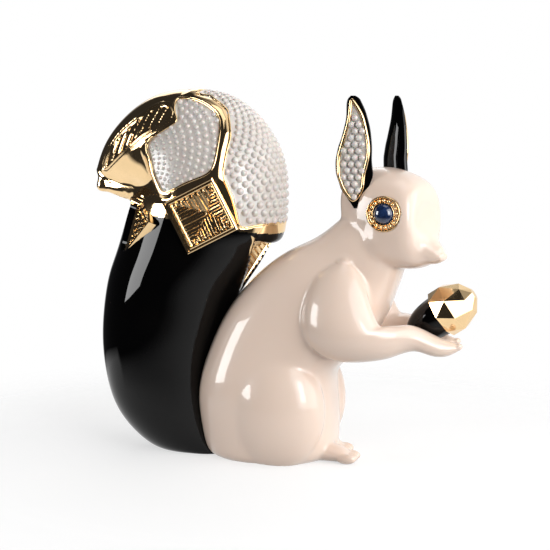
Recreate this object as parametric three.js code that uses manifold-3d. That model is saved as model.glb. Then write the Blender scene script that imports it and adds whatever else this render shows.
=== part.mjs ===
// Seated squirrel figurine in slip-cast porcelain, with a raised jewelled tail and an acorn in its paws.
// Millimetres. +X is where the squirrel faces, +Y its left side, +Z up. The base lies on Z = 0.
// The origin is the point on the ground under the middle of the figurine.
import * as THREE from 'three';
import { mergeVertices } from 'three/addons/utils/BufferGeometryUtils.js';
import Module from 'manifold-3d';

const wasm = await Module();
wasm.setup();

// Clearance between pieces, cast walls and the hole that drains the mould
const FIT_GAP = 0.3;
const CAST_WALL = 5;
const DRAIN_RADIUS = 9;

// Torso, measured from the back of the rump to the chest and from the ground to the nape. Places are
// shares of the length and the height of the piece that they lie on.
const TORSO_LENGTH = 154;
const TORSO_HEIGHT = 180;
const TORSO_WIDTH = 92;
const HAUNCH_LENGTH = 72;
const HAUNCH_WIDTH = 46;
const HAUNCH_HEIGHT = 82;
const HAUNCH_SPREAD = 58;
const HAUNCH_SETBACK = 66;
const NAPE_PLACE = [0.9, 1];
const TORSO_DRAIN = 0.35;

// Hind feet
const FOOT_LENGTH = 56;
const FOOT_WIDTH = 19;
const FOOT_HEIGHT = 15;
const FOOT_SPREAD = 22;
const FOOT_REACH = 20;
const FOOT_STAGGER = 11;
const TOE_RADIUS = 3.8;
const TOE_COUNT = 4;

// Head, from the back of the skull to the nose and from the jaw to the crown
const HEAD_LENGTH = 94;
const HEAD_HEIGHT = 76;
const HEAD_WIDTH = 55;
const HEAD_TURN = 20;
const EYE_PLACE = [0.095, 0.085];
const EAR_PLACE = [-0.07, 0.145];

// Ears
const EAR_HEIGHT = 80;
const EAR_WIDTH = 28;
const EAR_DEPTH = 8;
const EAR_SPREAD = 55;
const EAR_TOE_IN = 22;
const EAR_WALL = 0.8;
const EAR_RIM = 2.2;
const EAR_RIM_RELIEF = 1.2;
const EAR_BED = 3;

// Eyes
const BEZEL_RADIUS = 12.8;
const BEZEL_HEIGHT = 4.4;
const BEZEL_SEAT = 3;
const CABOCHON_RADIUS = 7.4;
const CABOCHON_HEIGHT = 5;
const BEAD_COUNT = 16;
const BEAD_RADIUS = 1.5;
const EYE_TOE_IN = 17;

// Front legs, from the shoulder to the finger tips
const ARM_REACH = 112;
const ARM_DROP = 72;
const ARM_WIDTH = 32;
const SHOULDER_SPREAD = 56;
const ELBOW_SPREAD = 72;
const PAW_SPREAD = 25;
const PAW_STAGGER = 9;
const SHOULDER_PLACE = [0.786, 0.833];
const ACORN_PLACE = [0.54, -0.53];

// Acorn
const NUT_RADIUS = 15;
const NUT_LENGTH = 30;
const CAP_RADIUS = 19.5;
const CAP_HEIGHT = 29;
const CAP_FACETS = 8;
const CAP_SOCKET = 7;
const ACORN_TILT = 34;

// Tail, from the tip at the back to the front of the hood
const TAIL_LENGTH = 156;
const TAIL_HEIGHT = 274;
const TAIL_WIDTH = 94;
const INLAY_RELIEF = 1.2;
const BEAD_RELIEF = 2.2;
// Beads in a full ring round the tail, and rows of them from one station to the next
const HOOD_BEADS = [42, 6];
const PANEL_BEADS = [56, 4];
const INLAY_DEPTH = 3.5;
const TAIL_PLACE = 0.08;
const TAIL_DRAIN = -0.13;

// Square plaques round the collar of the tail
const PLAQUE_SIDE = 42;
const PLAQUE_THICKNESS = 11;
const PLAQUE_TAPER = 6;
const PLAQUE_RELIEF = 2.5;
const PLAQUE_RIM = 5;
const PLAQUE_RECESS = 5;
const PLAQUE_RIBS = 3;
const REAR_PLAQUE_DROP = 38;
const REAR_PLAQUE_WIDTH = 54;
const REAR_PLAQUE_RISE = 15;
const FRONT_PLAQUE_DROP = 52;
const FRONT_PLAQUE_WIDTH = 60;

// Fluted panels at the tip
const FLUTE_WIDTH = 4;
const FLUTE_PITCH = 8;
const FLUTE_LEAN = 67;

// Finishes
const CREAM = new THREE.MeshStandardMaterial({ color: 0xd8c8ba, roughness: 0.12, metalness: 0 });
const BLACK = new THREE.MeshStandardMaterial({ color: 0x08080a, roughness: 0.06, metalness: 0 });
const GOLD = new THREE.MeshStandardMaterial({ color: 0xd9a85a, roughness: 0.1, metalness: 1 });
const PEARL = new THREE.MeshStandardMaterial({ color: 0xdcd9de, roughness: 0.3, metalness: 0 });
const BLUE = new THREE.MeshStandardMaterial({ color: 0x0d1c3c, roughness: 0.05, metalness: 0 });

// Closed solids and booleans
function toSolid(geometry) {
  const bare = geometry.clone();
  bare.deleteAttribute('normal');
  bare.deleteAttribute('uv');
  const merged = mergeVertices(bare, 1e-4);
  const vertProperties = new Float32Array(merged.attributes.position.array);
  const triVerts = new Uint32Array(merged.index.array);
  return new wasm.Manifold(new wasm.Mesh({ numProp: 3, vertProperties, triVerts }));
}

function toGeometry(solid) {
  const mesh = solid.getMesh();
  const geometry = new THREE.BufferGeometry();
  geometry.setAttribute('position', new THREE.Float32BufferAttribute(mesh.vertProperties, 3));
  geometry.setIndex(Array.from(mesh.triVerts));
  return geometry;
}

function join(first, ...others) {
  return toGeometry(others.reduce((solid, other) => solid.add(toSolid(other)), toSolid(first)));
}

function cut(first, ...others) {
  return toGeometry(others.reduce((solid, other) => solid.subtract(toSolid(other)), toSolid(first)));
}

function common(first, ...others) {
  return toGeometry(others.reduce((solid, other) => solid.intersect(toSolid(other)), toSolid(first)));
}

// Keeps the largest lump of a cut piece and drops the crumbs.
function largest(geometry) {
  const lumps = toSolid(geometry).decompose();
  lumps.sort((one, other) => other.volume() - one.volume());
  return toGeometry(lumps[0]);
}

// The same shape, seen from the frame of another group.
function inFrame(geometry, from, to) {
  const matrix = to.matrixWorld.clone().invert().multiply(from.matrixWorld);
  return geometry.clone().applyMatrix4(matrix);
}

function mirrored(geometry) {
  const copy = geometry.clone().applyMatrix4(new THREE.Matrix4().makeScale(1, -1, 1));
  const order = Array.from(copy.index.array);
  for (let i = 0; i < order.length; i += 3) {
    [order[i], order[i + 1]] = [order[i + 1], order[i]];
  }
  copy.setIndex(order);
  return copy;
}

// Rings of points joined into a closed skin, with a point in the middle of each end.
function skin(rings, startPoint, endPoint) {
  const sides = rings[0].length;
  const points = [...rings.flat(), startPoint, endPoint];
  const start = points.length - 2;
  const end = points.length - 1;
  const faces = [];
  for (let i = 0; i < sides; i += 1) {
    const next = (i + 1) % sides;
    const last = (rings.length - 1) * sides;
    faces.push(start, next, i);
    faces.push(end, last + i, last + next);
    for (let r = 0; r + 1 < rings.length; r += 1) {
      const low = r * sides;
      const high = low + sides;
      faces.push(low + i, low + next, high + next);
      faces.push(low + i, high + next, high + i);
    }
  }
  const geometry = new THREE.BufferGeometry().setFromPoints(points);
  geometry.setIndex(faces);
  return turnedOut(geometry);
}

// Turns the faces of a closed skin outwards.
function turnedOut(geometry) {
  const position = geometry.attributes.position;
  const order = Array.from(geometry.index.array);
  const corner = [new THREE.Vector3(), new THREE.Vector3(), new THREE.Vector3()];
  let volume = 0;
  for (let i = 0; i < order.length; i += 3) {
    corner.forEach((point, k) => point.fromBufferAttribute(position, order[i + k]));
    volume += corner[0].dot(corner[1].clone().cross(corner[2]));
  }
  if (volume < 0) {
    for (let i = 0; i < order.length; i += 3) {
      [order[i], order[i + 1]] = [order[i + 1], order[i]];
    }
    geometry.setIndex(order);
  }
  return geometry;
}

// A limb or body drawn by stations [backX, backZ, frontX, frontZ, middleY, halfWidth] in its side view.
// Each station is an oval ring, and grow moves the skin out. from and to take a length of it only, rows
// is the number of rings from one station to the next, and relief lifts the points of the skin.
function loft(stations, {
  sides, grow = 0, from = 0, to = stations.length - 1, rows = 1, relief = () => 0,
}) {
  const backs = new THREE.CatmullRomCurve3(stations.map((s) => new THREE.Vector3(s[0], 0, s[1])));
  const fronts = new THREE.CatmullRomCurve3(stations.map((s) => new THREE.Vector3(s[2], 0, s[3])));
  const widths = new THREE.CatmullRomCurve3(stations.map((s) => new THREE.Vector3(s[4], s[5], 0)));
  const count = Math.round((to - from) * rows);
  const rings = [];
  const middles = [];
  for (let r = 0; r <= count; r += 1) {
    const t = (from + (to - from) * (r / count)) / (stations.length - 1);
    const back = backs.getPoint(t);
    const front = fronts.getPoint(t);
    const width = widths.getPoint(t);
    const middle = back.clone().add(front).multiplyScalar(0.5);
    middle.y = width.x;
    const half = back.distanceTo(front) / 2;
    const reach = front.clone().sub(back).normalize();
    middles.push(middle);
    rings.push(Array.from({ length: sides }, (_, k) => {
      const angle = (2 * Math.PI * k) / sides;
      const lift = grow + relief(r, k);
      const along = Math.max(half + lift, 0.4) * Math.cos(angle);
      const across = Math.max(width.y + lift, 0.4) * Math.sin(angle);
      return new THREE.Vector3(
        middle.x + reach.x * along, middle.y + across, middle.z + reach.z * along);
    }));
  }
  const shift = (inner, outer) => outer.clone().sub(inner).setLength(1).multiplyScalar(grow);
  const startShift = shift(middles[1], middles[0]);
  const endShift = shift(middles[count - 1], middles[count]);
  rings[0].forEach((point) => point.add(startShift));
  rings[count].forEach((point) => point.add(endShift));
  return skin(rings, middles[0].add(startShift), middles[count].add(endShift));
}

// Stations of the hollow inside a skin; wallAt gives the wall at each station.
function hollow(stations, wallAt) {
  return stations.map(([backX, backZ, frontX, frontZ, middle, side], i) => {
    const wall = wallAt(i);
    const chord = new THREE.Vector2(frontX - backX, frontZ - backZ);
    chord.setLength(Math.min(wall, chord.length() * 0.48));
    return [backX + chord.x, backZ + chord.y, frontX - chord.x, frontZ - chord.y,
      middle, Math.max(side - wall, side * 0.1)];
  });
}

function oval(radiusX, radiusY, radiusZ, x, y, z, sides = 20, bands = 12) {
  return new THREE.SphereGeometry(1, sides, bands).scale(radiusX, radiusY, radiusZ).translate(x, y, z);
}

function box(x, y, z, left, near, low) {
  return new THREE.BoxGeometry(x, y, z).translate(left + x / 2, near + y / 2, low + z / 2);
}

function plate(outline, thickness) {
  return new THREE.ExtrudeGeometry(new THREE.Shape(outline), { depth: thickness, bevelEnabled: false });
}

// A round hole up through a base of the given wall.
function drainHole(x, wall) {
  return new THREE.CylinderGeometry(DRAIN_RADIUS, DRAIN_RADIUS, 4 * wall, 16)
    .rotateX(Math.PI / 2).translate(x, 0, 0);
}

const figurine = new THREE.Group();

function group(parent, x = 0, y = 0, z = 0) {
  const frame = new THREE.Group();
  frame.position.set(x, y, z);
  parent.add(frame);
  return frame;
}

function addMesh(parent, name, geometry, material) {
  const mesh = new THREE.Mesh(geometry, material);
  mesh.name = name;
  parent.add(mesh);
}

// Torso. Shares of the torso's length and height: back line, front line, then the half width.
const TORSO_SHAPE = [
  [0.09, 0, 0.61, 0, 0.4],
  [0.03, 0.03, 0.66, 0.04, 0.44],
  [0, 0.14, 0.67, 0.14, 0.48],
  [-0.01, 0.28, 0.66, 0.27, 0.5],
  [0.04, 0.44, 0.67, 0.37, 0.48],
  [0.14, 0.62, 0.76, 0.44, 0.44],
  [0.29, 0.77, 0.85, 0.52, 0.4],
  [0.44, 0.865, 0.92, 0.62, 0.36],
  [0.57, 0.92, 0.965, 0.72, 0.31],
  [0.68, 0.99, 1.0, 0.82, 0.28],
  [0.76, 1.05, 1.0, 0.93, 0.2],
];
const torsoFrame = group(figurine);
const torsoStations = TORSO_SHAPE.map(([backX, backZ, frontX, frontZ, side]) => [
  backX * TORSO_LENGTH, backZ * TORSO_HEIGHT, frontX * TORSO_LENGTH, frontZ * TORSO_HEIGHT,
  0, side * TORSO_WIDTH]);

function torsoLoft(grow) {
  return loft(torsoStations, { sides: 24, grow });
}

function haunches(grow) {
  const height = HAUNCH_HEIGHT / 2;
  return [-1, 1].map((hand) => oval(HAUNCH_LENGTH / 2 + grow, HAUNCH_WIDTH / 2 + grow, height + grow,
    HAUNCH_SETBACK, (hand * HAUNCH_SPREAD) / 2, height * 0.93, 18, 10));
}

const underground = box(
  2 * TORSO_LENGTH, 2 * TORSO_WIDTH, TORSO_HEIGHT, -TORSO_LENGTH / 2, -TORSO_WIDTH, -TORSO_HEIGHT);

// The head turns on the nape.
const headFrame = group(torsoFrame, TORSO_LENGTH * NAPE_PLACE[0], 0, TORSO_HEIGHT * NAPE_PLACE[1]);
headFrame.rotation.z = -THREE.MathUtils.degToRad(HEAD_TURN);

// Head. Shares of the head's length and height from the turning point: crown line, jaw line, half width.
const HEAD_SHAPE = [
  [-0.35, 0.16, -0.33, 0.02, 0.06],
  [-0.31, 0.33, -0.28, -0.14, 0.28],
  [-0.22, 0.45, -0.18, -0.3, 0.42],
  [-0.07, 0.5, -0.05, -0.4, 0.49],
  [0.13, 0.48, 0.12, -0.44, 0.5],
  [0.34, 0.37, 0.26, -0.45, 0.46],
  [0.4, 0.17, 0.36, -0.43, 0.35],
  [0.42, -0.08, 0.43, -0.39, 0.22],
  [0.535, -0.29, 0.53, -0.35, 0.09],
];
const headStations = HEAD_SHAPE.map(([topX, topZ, jawX, jawZ, side]) => [
  topX * HEAD_LENGTH, topZ * HEAD_HEIGHT, jawX * HEAD_LENGTH, jawZ * HEAD_HEIGHT,
  0, side * HEAD_WIDTH]);

function headLoft(grow) {
  return loft(headStations, { sides: 20, grow });
}

// Tail. The frame stands where the tail meets the back of the rump.
const tailFrame = group(torsoFrame, TORSO_LENGTH * TAIL_PLACE, 0, 0);
// Shares of the tail's length and height: back line, front line, half width.
const STEM_SHAPE = [
  [-0.22, 0, 0.07, 0, 0.24],
  [-0.36, 0.01, 0.03, 0.04, 0.32],
  [-0.52, 0.095, 0, 0.14, 0.42],
  [-0.59, 0.2, 0, 0.25, 0.46],
  [-0.61, 0.3, 0.03, 0.34, 0.48],
  [-0.6, 0.4, 0.09, 0.44, 0.49],
  [-0.57, 0.49, 0.18, 0.52, 0.5],
  [-0.53, 0.57, 0.26, 0.58, 0.5],
  [-0.48, 0.685, 0.31, 0.613, 0.5],
];
const STEM_TOP = STEM_SHAPE.length - 1;
// The hood fans round the notch behind the collar: angle of each station and where it meets the outline.
const NOTCH = [-0.455, 0.7];
const NOTCH_RADIUS = 3;
const HOOD_SHAPE = [
  [8, 0.325, 0.74, 0.5],
  [30, 0.29, 0.84, 0.49],
  [52, 0.2, 0.92, 0.46],
  [74, 0.06, 0.98, 0.42],
  [96, -0.12, 1, 0.36],
  [116, -0.32, 0.985, 0.29],
  [134, -0.49, 0.925, 0.21],
  [148, -0.6, 0.85, 0.13],
  [158, -0.66, 0.78, 0.05],
];
const tailStations = [
  ...STEM_SHAPE.map(([backX, backZ, frontX, frontZ, side]) => [
    backX * TAIL_LENGTH, backZ * TAIL_HEIGHT, frontX * TAIL_LENGTH, frontZ * TAIL_HEIGHT,
    0, side * TAIL_WIDTH]),
  ...HOOD_SHAPE.map(([angle, frontX, frontZ, side]) => {
    const turn = THREE.MathUtils.degToRad(angle);
    return [
      NOTCH[0] * TAIL_LENGTH + NOTCH_RADIUS * Math.cos(turn),
      NOTCH[1] * TAIL_HEIGHT + NOTCH_RADIUS * Math.sin(turn),
      frontX * TAIL_LENGTH, frontZ * TAIL_HEIGHT, 0, side * TAIL_WIDTH];
  }),
];

function stemLoft(grow) {
  return loft(tailStations, { sides: 20, grow, from: 0, to: STEM_TOP });
}

function crownLoft(grow) {
  return loft(tailStations, { sides: 20, grow, from: STEM_TOP, to: tailStations.length - 1 });
}

// Outlines of the inlays in the tail's side view, in shares of the tail's length and height.
const BEAD_PANEL = [
  [-0.18, 0.972], [-0.11, 0.976], [-0.03, 0.963], [0.05, 0.93], [0.074, 0.88], [0.07, 0.82],
  [0.04, 0.78], [-0.05, 0.757], [-0.14, 0.733], [-0.185, 0.727], [-0.21, 0.74], [-0.25, 0.78],
  [-0.27, 0.815], [-0.293, 0.848], [-0.25, 0.878], [-0.165, 0.908], [-0.155, 0.93],
];
const HOOD_EDGE = [
  [-0.1, 1.1], [-0.083, 0.989], [0.002, 0.975], [0.066, 0.951], [0.096, 0.924], [0.115, 0.888],
  [0.116, 0.854], [0.108, 0.8], [0.111, 0.773], [0.15, 0.723], [0.17, 0.67], [0.18, 0.634],
  [0.29, 0.641], [0.45, 0.641], [0.45, 1.1],
];
const FLUTED_PANEL = [
  [-0.585, 0.8], [-0.515, 0.855], [-0.44, 0.893], [-0.37, 0.92], [-0.3, 0.945], [-0.24, 0.957],
  [-0.195, 0.95], [-0.18, 0.925], [-0.26, 0.9], [-0.345, 0.872], [-0.42, 0.842], [-0.53, 0.8],
  [-0.585, 0.782],
];

// A prism across the tail on one side of its middle plane, or on both sides where hand is 0.
function tailPrism(outline, hand, grow = 0) {
  const points = outline.map(([x, z]) => new THREE.Vector2(x * TAIL_LENGTH, z * TAIL_HEIGHT));
  const across = hand === 0 ? 2 * TAIL_WIDTH : TAIL_WIDTH;
  const prism = plate(grown(points, grow), across).rotateX(Math.PI / 2);
  const near = hand === 0 ? TAIL_WIDTH : 0;
  const side = hand > 0 ? TAIL_WIDTH : near;
  return prism.translate(0, side, 0);
}

// Moves each side of an outline outwards by the same distance.
function grown(points, distance) {
  const area = THREE.ShapeUtils.area(points);
  const turn = Math.sign(area);
  return points.map((point, i) => {
    const before = points[(i + points.length - 1) % points.length];
    const after = points[(i + 1) % points.length];
    const first = point.clone().sub(before).normalize();
    const second = after.clone().sub(point).normalize();
    const normal = new THREE.Vector2(first.y + second.y, -first.x - second.x).normalize();
    const mitre = Math.max(normal.dot(new THREE.Vector2(first.y, -first.x)), 0.5);
    return point.clone().addScaledVector(normal, (turn * distance) / mitre);
  });
}

// Everything between two skins of the crown.
function crownLayer(low, high) {
  return cut(crownLoft(high), crownLoft(low));
}

// An inlay set with beads: each bead is a point of the skin that stands out between four that don't.
function beadedInlay(outline, hand, [round, rows]) {
  const relief = (row, place) => ((row + place) % 2 === 0 ? BEAD_RELIEF : 0);
  const beads = loft(tailStations, {
    sides: 2 * Math.round(round), from: STEM_TOP, to: tailStations.length - 1, rows, relief });
  return largest(cut(common(beads, tailPrism(outline, hand)), crownLoft(-INLAY_DEPTH)));
}

function inlaySeat(outline, hand) {
  return common(tailPrism(outline, hand, FIT_GAP), crownLayer(-INLAY_DEPTH - FIT_GAP, 2 * INLAY_RELIEF));
}

// Slanted flutes over a fluted panel, standing on a bed that is flush with the crown.
function flutedPanel(hand) {
  const bed = common(tailPrism(FLUTED_PANEL, hand), crownLayer(-INLAY_DEPTH, 0));
  const lean = THREE.MathUtils.degToRad(90 - FLUTE_LEAN);
  const span = new THREE.Box2().setFromPoints(FLUTED_PANEL.map(
    ([x, z]) => new THREE.Vector2(x * TAIL_LENGTH, z * TAIL_HEIGHT)));
  const middle = (span.min.y + span.max.y) / 2;
  const bars = [];
  for (let x = span.min.x + FLUTE_PITCH / 2; x < span.max.x; x += FLUTE_PITCH) {
    bars.push(new THREE.BoxGeometry(FLUTE_WIDTH, 2 * TAIL_WIDTH, TAIL_HEIGHT / 4)
      .rotateY(lean).translate(x, 0, middle));
  }
  const layer = crownLayer(-INLAY_DEPTH, INLAY_RELIEF);
  const flutes = common(join(...bars), tailPrism(FLUTED_PANEL, hand), layer);
  return largest(join(bed, flutes));
}

// Collar plaques. A frustum over an outline: each end has its own depth and its own inset.
function frustum(outline, front, frontInset, back, backInset) {
  const ring = (depth, inset) => grown(outline, -inset)
    .map((point) => new THREE.Vector3(point.x, depth, point.y));
  const middle = outline.reduce((sum, point) => sum.add(point), new THREE.Vector2())
    .divideScalar(outline.length);
  return skin([ring(front, frontInset), ring(back, backInset)],
    new THREE.Vector3(middle.x, front, middle.y), new THREE.Vector3(middle.x, back, middle.y));
}

const plaqueReach = PLAQUE_SIDE / Math.SQRT2;
const SQUARE_PLAQUE = [[0, -1], [1, 0], [0, 1], [-1, 0]]
  .map(([x, z]) => new THREE.Vector2(x * plaqueReach, z * plaqueReach));
const REAR_PLAQUE = [
  [0, -REAR_PLAQUE_DROP], [REAR_PLAQUE_WIDTH / 2, 0], [0, REAR_PLAQUE_RISE], [-REAR_PLAQUE_WIDTH / 2, 0],
].map(([x, z]) => new THREE.Vector2(x, z));
const FRONT_PLAQUE = [[0, -FRONT_PLAQUE_DROP], [FRONT_PLAQUE_WIDTH / 2, 0], [-FRONT_PLAQUE_WIDTH / 2, 0]]
  .map(([x, z]) => new THREE.Vector2(x, z));

// A plaque with its outer face towards -Y: a rim round a sloping recess, and ribs across each half of it.
function plaque(outline) {
  const slab = frustum(outline, 0, 0, PLAQUE_THICKNESS, PLAQUE_TAPER);
  const recess = frustum(outline, -1, PLAQUE_RIM - 1, PLAQUE_RECESS, PLAQUE_RIM + PLAQUE_RECESS);
  const ribDepth = PLAQUE_RECESS * 0.7;
  const pitch = plaqueReach / (PLAQUE_RIBS + 1);
  const ribs = Array.from({ length: 2 * PLAQUE_RIBS }, (_, i) => {
    const hand = i % 2 === 0 ? -1 : 1;
    const place = (Math.floor(i / 2) - (PLAQUE_RIBS - 1) / 2) * pitch;
    return new THREE.BoxGeometry(plaqueReach / 2, ribDepth, pitch / 2)
      .translate((hand * plaqueReach) / 4, PLAQUE_RECESS - ribDepth / 2 + 0.5, place)
      .rotateY((-hand * Math.PI) / 4).translate(0, 0, outline[0].y / 2 + plaqueReach / 2);
  });
  const inside = frustum(outline, 0.2, PLAQUE_RIM / 2, PLAQUE_THICKNESS - 1, PLAQUE_RIM + PLAQUE_TAPER / 2);
  return largest(join(cut(slab, recess), common(join(...ribs), inside)));
}

function plaqueSeat(outline) {
  const pocket = frustum(outline, 0, -FIT_GAP, PLAQUE_THICKNESS + FIT_GAP, PLAQUE_TAPER - FIT_GAP);
  const mouth = frustum(outline, -PLAQUE_THICKNESS, -FIT_GAP, FIT_GAP, -FIT_GAP);
  return join(pocket, mouth);
}

// Each plaque: outline, place as shares of the tail's length, width and height, bearing from the
// squirrel's right side, lean of its lower corner out of the upright, and turn in its own plane.
const PLAQUES = [
  ['plaque_right', SQUARE_PLAQUE, 0.004, -0.49, 0.667, 8, 0, 18],
  ['plaque_left', SQUARE_PLAQUE, 0.004, 0.49, 0.667, 172, 0, -18],
  ['plaque_rear_right', REAR_PLAQUE, -0.328, -0.278, 0.664, -52, 23, 12],
  ['plaque_rear_left', REAR_PLAQUE, -0.328, 0.278, 0.664, -128, 23, -12],
  ['plaque_front', FRONT_PLAQUE, 0.222, 0, 0.612, 90, -27, 0],
];

const plaqueFrames = PLAQUES.map(([, , along, across, high, bearing, lean, turn]) => {
  const frame = group(tailFrame, along * TAIL_LENGTH, across * TAIL_WIDTH, high * TAIL_HEIGHT);
  frame.rotation.order = 'ZXY';
  frame.rotation.z = THREE.MathUtils.degToRad(bearing);
  frame.rotation.x = THREE.MathUtils.degToRad(-lean);
  frame.rotation.y = THREE.MathUtils.degToRad(turn);
  frame.translateY(-PLAQUE_RELIEF);
  return frame;
});

// Ears. Half width and depth of the leaf at each share of its height.
const EAR_SHAPE = [
  [0, 0.06, 0.3],
  [0.1, 0.27, 0.7],
  [0.25, 0.46, 1],
  [0.4, 0.5, 1],
  [0.55, 0.46, 0.9],
  [0.7, 0.37, 0.75],
  [0.85, 0.26, 0.5],
  [1, 0.04, 0.2],
];

function earOutline(inset) {
  const low = 1.6 * inset;
  const tall = EAR_HEIGHT - 4.2 * inset;
  const side = EAR_SHAPE.map(([height, width]) => new THREE.Vector2(
    Math.max(width * EAR_WIDTH - inset, 0.3), low + height * tall));
  return [...side, ...side.slice().reverse().map((point) => new THREE.Vector2(-point.x, point.y))];
}

function earPlate(inset, low, high) {
  return plate(earOutline(inset), high - low).rotateX(Math.PI / 2).translate(0, -low, 0);
}

function earShell() {
  const sides = 8;
  const rings = EAR_SHAPE.map(([height, width, depth]) => Array.from({ length: sides + 1 }, (_, k) => {
    const angle = Math.PI * (k / sides);
    return new THREE.Vector3(
      width * EAR_WIDTH * Math.cos(angle), depth * EAR_DEPTH * Math.sin(angle), height * EAR_HEIGHT);
  }));
  const middle = (ring) => ring[0].clone().add(ring[sides]).multiplyScalar(0.5).add(ring[sides / 2])
    .multiplyScalar(0.5);
  const leaf = skin(rings, middle(rings[0]), middle(rings[rings.length - 1]));
  return cut(leaf, earPlate(EAR_WALL - FIT_GAP, -EAR_BED - FIT_GAP, EAR_BED));
}

function earRim() {
  const low = -EAR_BED;
  return cut(earPlate(EAR_WALL, low, EAR_RIM_RELIEF),
    earPlate(EAR_WALL + EAR_RIM, low - 1, EAR_RIM_RELIEF + 1));
}

function earBeads() {
  return earPlate(EAR_WALL + EAR_RIM + FIT_GAP, -EAR_BED, 0);
}

// Front legs. Shares of the reach and drop from the shoulder: outer line, inner line, then how far the
// middle has moved from the shoulder's spread to the elbow's and on to the paws', and the half width.
const ARM_SHAPE = [
  [-0.09, 0, 0, 0, 0, 0.16],
  [-0.22, -0.15, 0.07, -0.14, 0.2, 0.34],
  [-0.3, -0.47, 0.14, -0.38, 0.7, 0.47],
  [-0.26, -0.78, 0.2, -0.58, 1, 0.5],
  [-0.09, -0.97, 0.25, -0.6, 1.1, 0.46],
  [0.15, -0.97, 0.31, -0.6, 1.3, 0.39],
  [0.28, -0.925, 0.38, -0.6, 1.5, 0.33],
  [0.4, -0.87, 0.45, -0.64, 1.7, 0.28],
  [0.5, -0.91, 0.52, -0.7, 1.85, 0.27],
  [0.6, -0.92, 0.59, -0.75, 1.95, 0.22],
  [0.68, -0.86, 0.665, -0.79, 2, 0.1],
];
const shoulderFrame = group(
  torsoFrame, TORSO_LENGTH * SHOULDER_PLACE[0], 0, TORSO_HEIGHT * SHOULDER_PLACE[1]);

function armLoft(hand, grow) {
  const stations = ARM_SHAPE.map(([outX, outZ, inX, inZ, travel, side]) => {
    const toElbow = Math.min(travel, 1) * (ELBOW_SPREAD - SHOULDER_SPREAD);
    const toPaw = Math.max(travel - 1, 0) * (PAW_SPREAD - ELBOW_SPREAD);
    const middle = (hand * (SHOULDER_SPREAD + toElbow + toPaw)) / 2;
    const reach = hand > 0 ? ARM_REACH - PAW_STAGGER : ARM_REACH;
    return [outX * reach, outZ * ARM_DROP, inX * reach, inZ * ARM_DROP, middle, side * ARM_WIDTH];
  });
  return loft(stations, { sides: 14, grow });
}

// Acorn, held by its nut with the cap up and away from the squirrel.
const acornFrame = group(shoulderFrame, ARM_REACH * ACORN_PLACE[0], 0, ARM_DROP * ACORN_PLACE[1]);
acornFrame.rotation.y = THREE.MathUtils.degToRad(90 - ACORN_TILT);

function nut(grow) {
  const radius = NUT_RADIUS + grow;
  const stem = CAP_SOCKET + grow;
  const profile = [
    new THREE.Vector2(0, -NUT_LENGTH - grow), new THREE.Vector2(radius * 0.18, -NUT_LENGTH * 0.94)];
  for (let i = 1; i <= 5; i += 1) {
    const angle = (Math.PI / 2) * (i / 5);
    profile.push(new THREE.Vector2(radius * Math.sin(angle) ** 0.9, -NUT_LENGTH * 0.9 * Math.cos(angle)));
  }
  profile.push(new THREE.Vector2(radius, stem), new THREE.Vector2(0, stem));
  return turnedOut(new THREE.LatheGeometry(profile, 16).rotateX(Math.PI / 2));
}

// Rings of the faceted cap, each turned by half a facet: share of the height and of the radius.
const CAP_RINGS = [[0, 0.9], [0.3, 1], [0.62, 0.84], [0.88, 0.5], [1, 0.22]];

function capDome(grow) {
  const rings = CAP_RINGS.map(([height, radius], turn) => Array.from({ length: CAP_FACETS }, (_, k) => {
    const angle = (2 * Math.PI * (k - turn / 2)) / CAP_FACETS;
    const reach = radius * CAP_RADIUS + grow;
    return new THREE.Vector3(
      reach * Math.cos(angle), reach * Math.sin(angle), height * (CAP_HEIGHT + 2 * grow) - grow);
  }));
  return skin(rings, new THREE.Vector3(0, 0, -grow), new THREE.Vector3(0, 0, CAP_HEIGHT + grow));
}

// Eyes: a beaded bezel let into the head, with a cabochon inside it. Outwards is +Z.
function bezelRing() {
  const inner = CABOCHON_RADIUS + FIT_GAP;
  const lip = BEZEL_RADIUS - 3 * BEAD_RADIUS;
  const top = BEZEL_HEIGHT - BEAD_RADIUS;
  const profile = [
    new THREE.Vector2(inner, -BEZEL_SEAT), new THREE.Vector2(BEZEL_RADIUS, -BEZEL_SEAT),
    new THREE.Vector2(BEZEL_RADIUS, top * 0.8), new THREE.Vector2(BEZEL_RADIUS - BEAD_RADIUS / 2, top),
    new THREE.Vector2(Math.max(lip, inner + BEAD_RADIUS / 2), top), new THREE.Vector2(inner, top * 0.6),
    new THREE.Vector2(inner, -BEZEL_SEAT)];
  const ring = new THREE.LatheGeometry(profile, 20).rotateX(Math.PI / 2);
  const beads = Array.from({ length: BEAD_COUNT }, (_, k) => {
    const angle = (2 * Math.PI * k) / BEAD_COUNT;
    const reach = BEZEL_RADIUS - 1.6 * BEAD_RADIUS;
    return oval(BEAD_RADIUS, BEAD_RADIUS, BEAD_RADIUS,
      reach * Math.cos(angle), reach * Math.sin(angle), top, 5, 3);
  });
  return join(turnedOut(ring), ...beads);
}

function cabochon() {
  const profile = [new THREE.Vector2(0, -BEZEL_SEAT), new THREE.Vector2(CABOCHON_RADIUS, -BEZEL_SEAT)];
  for (let i = 0; i <= 4; i += 1) {
    const angle = (Math.PI / 2) * (i / 4);
    profile.push(new THREE.Vector2(CABOCHON_RADIUS * Math.cos(angle), CABOCHON_HEIGHT * Math.sin(angle)));
  }
  return turnedOut(new THREE.LatheGeometry(profile, 18).rotateX(Math.PI / 2));
}

// Shares of the foot: place along it, height and half width.
const FOOT_SHAPE = [
  [0, 0.3, 0.2], [0.1, 0.7, 0.4], [0.35, 1, 0.5], [0.65, 0.9, 0.5], [0.85, 0.6, 0.45], [0.92, 0.3, 0.3]];

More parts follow.
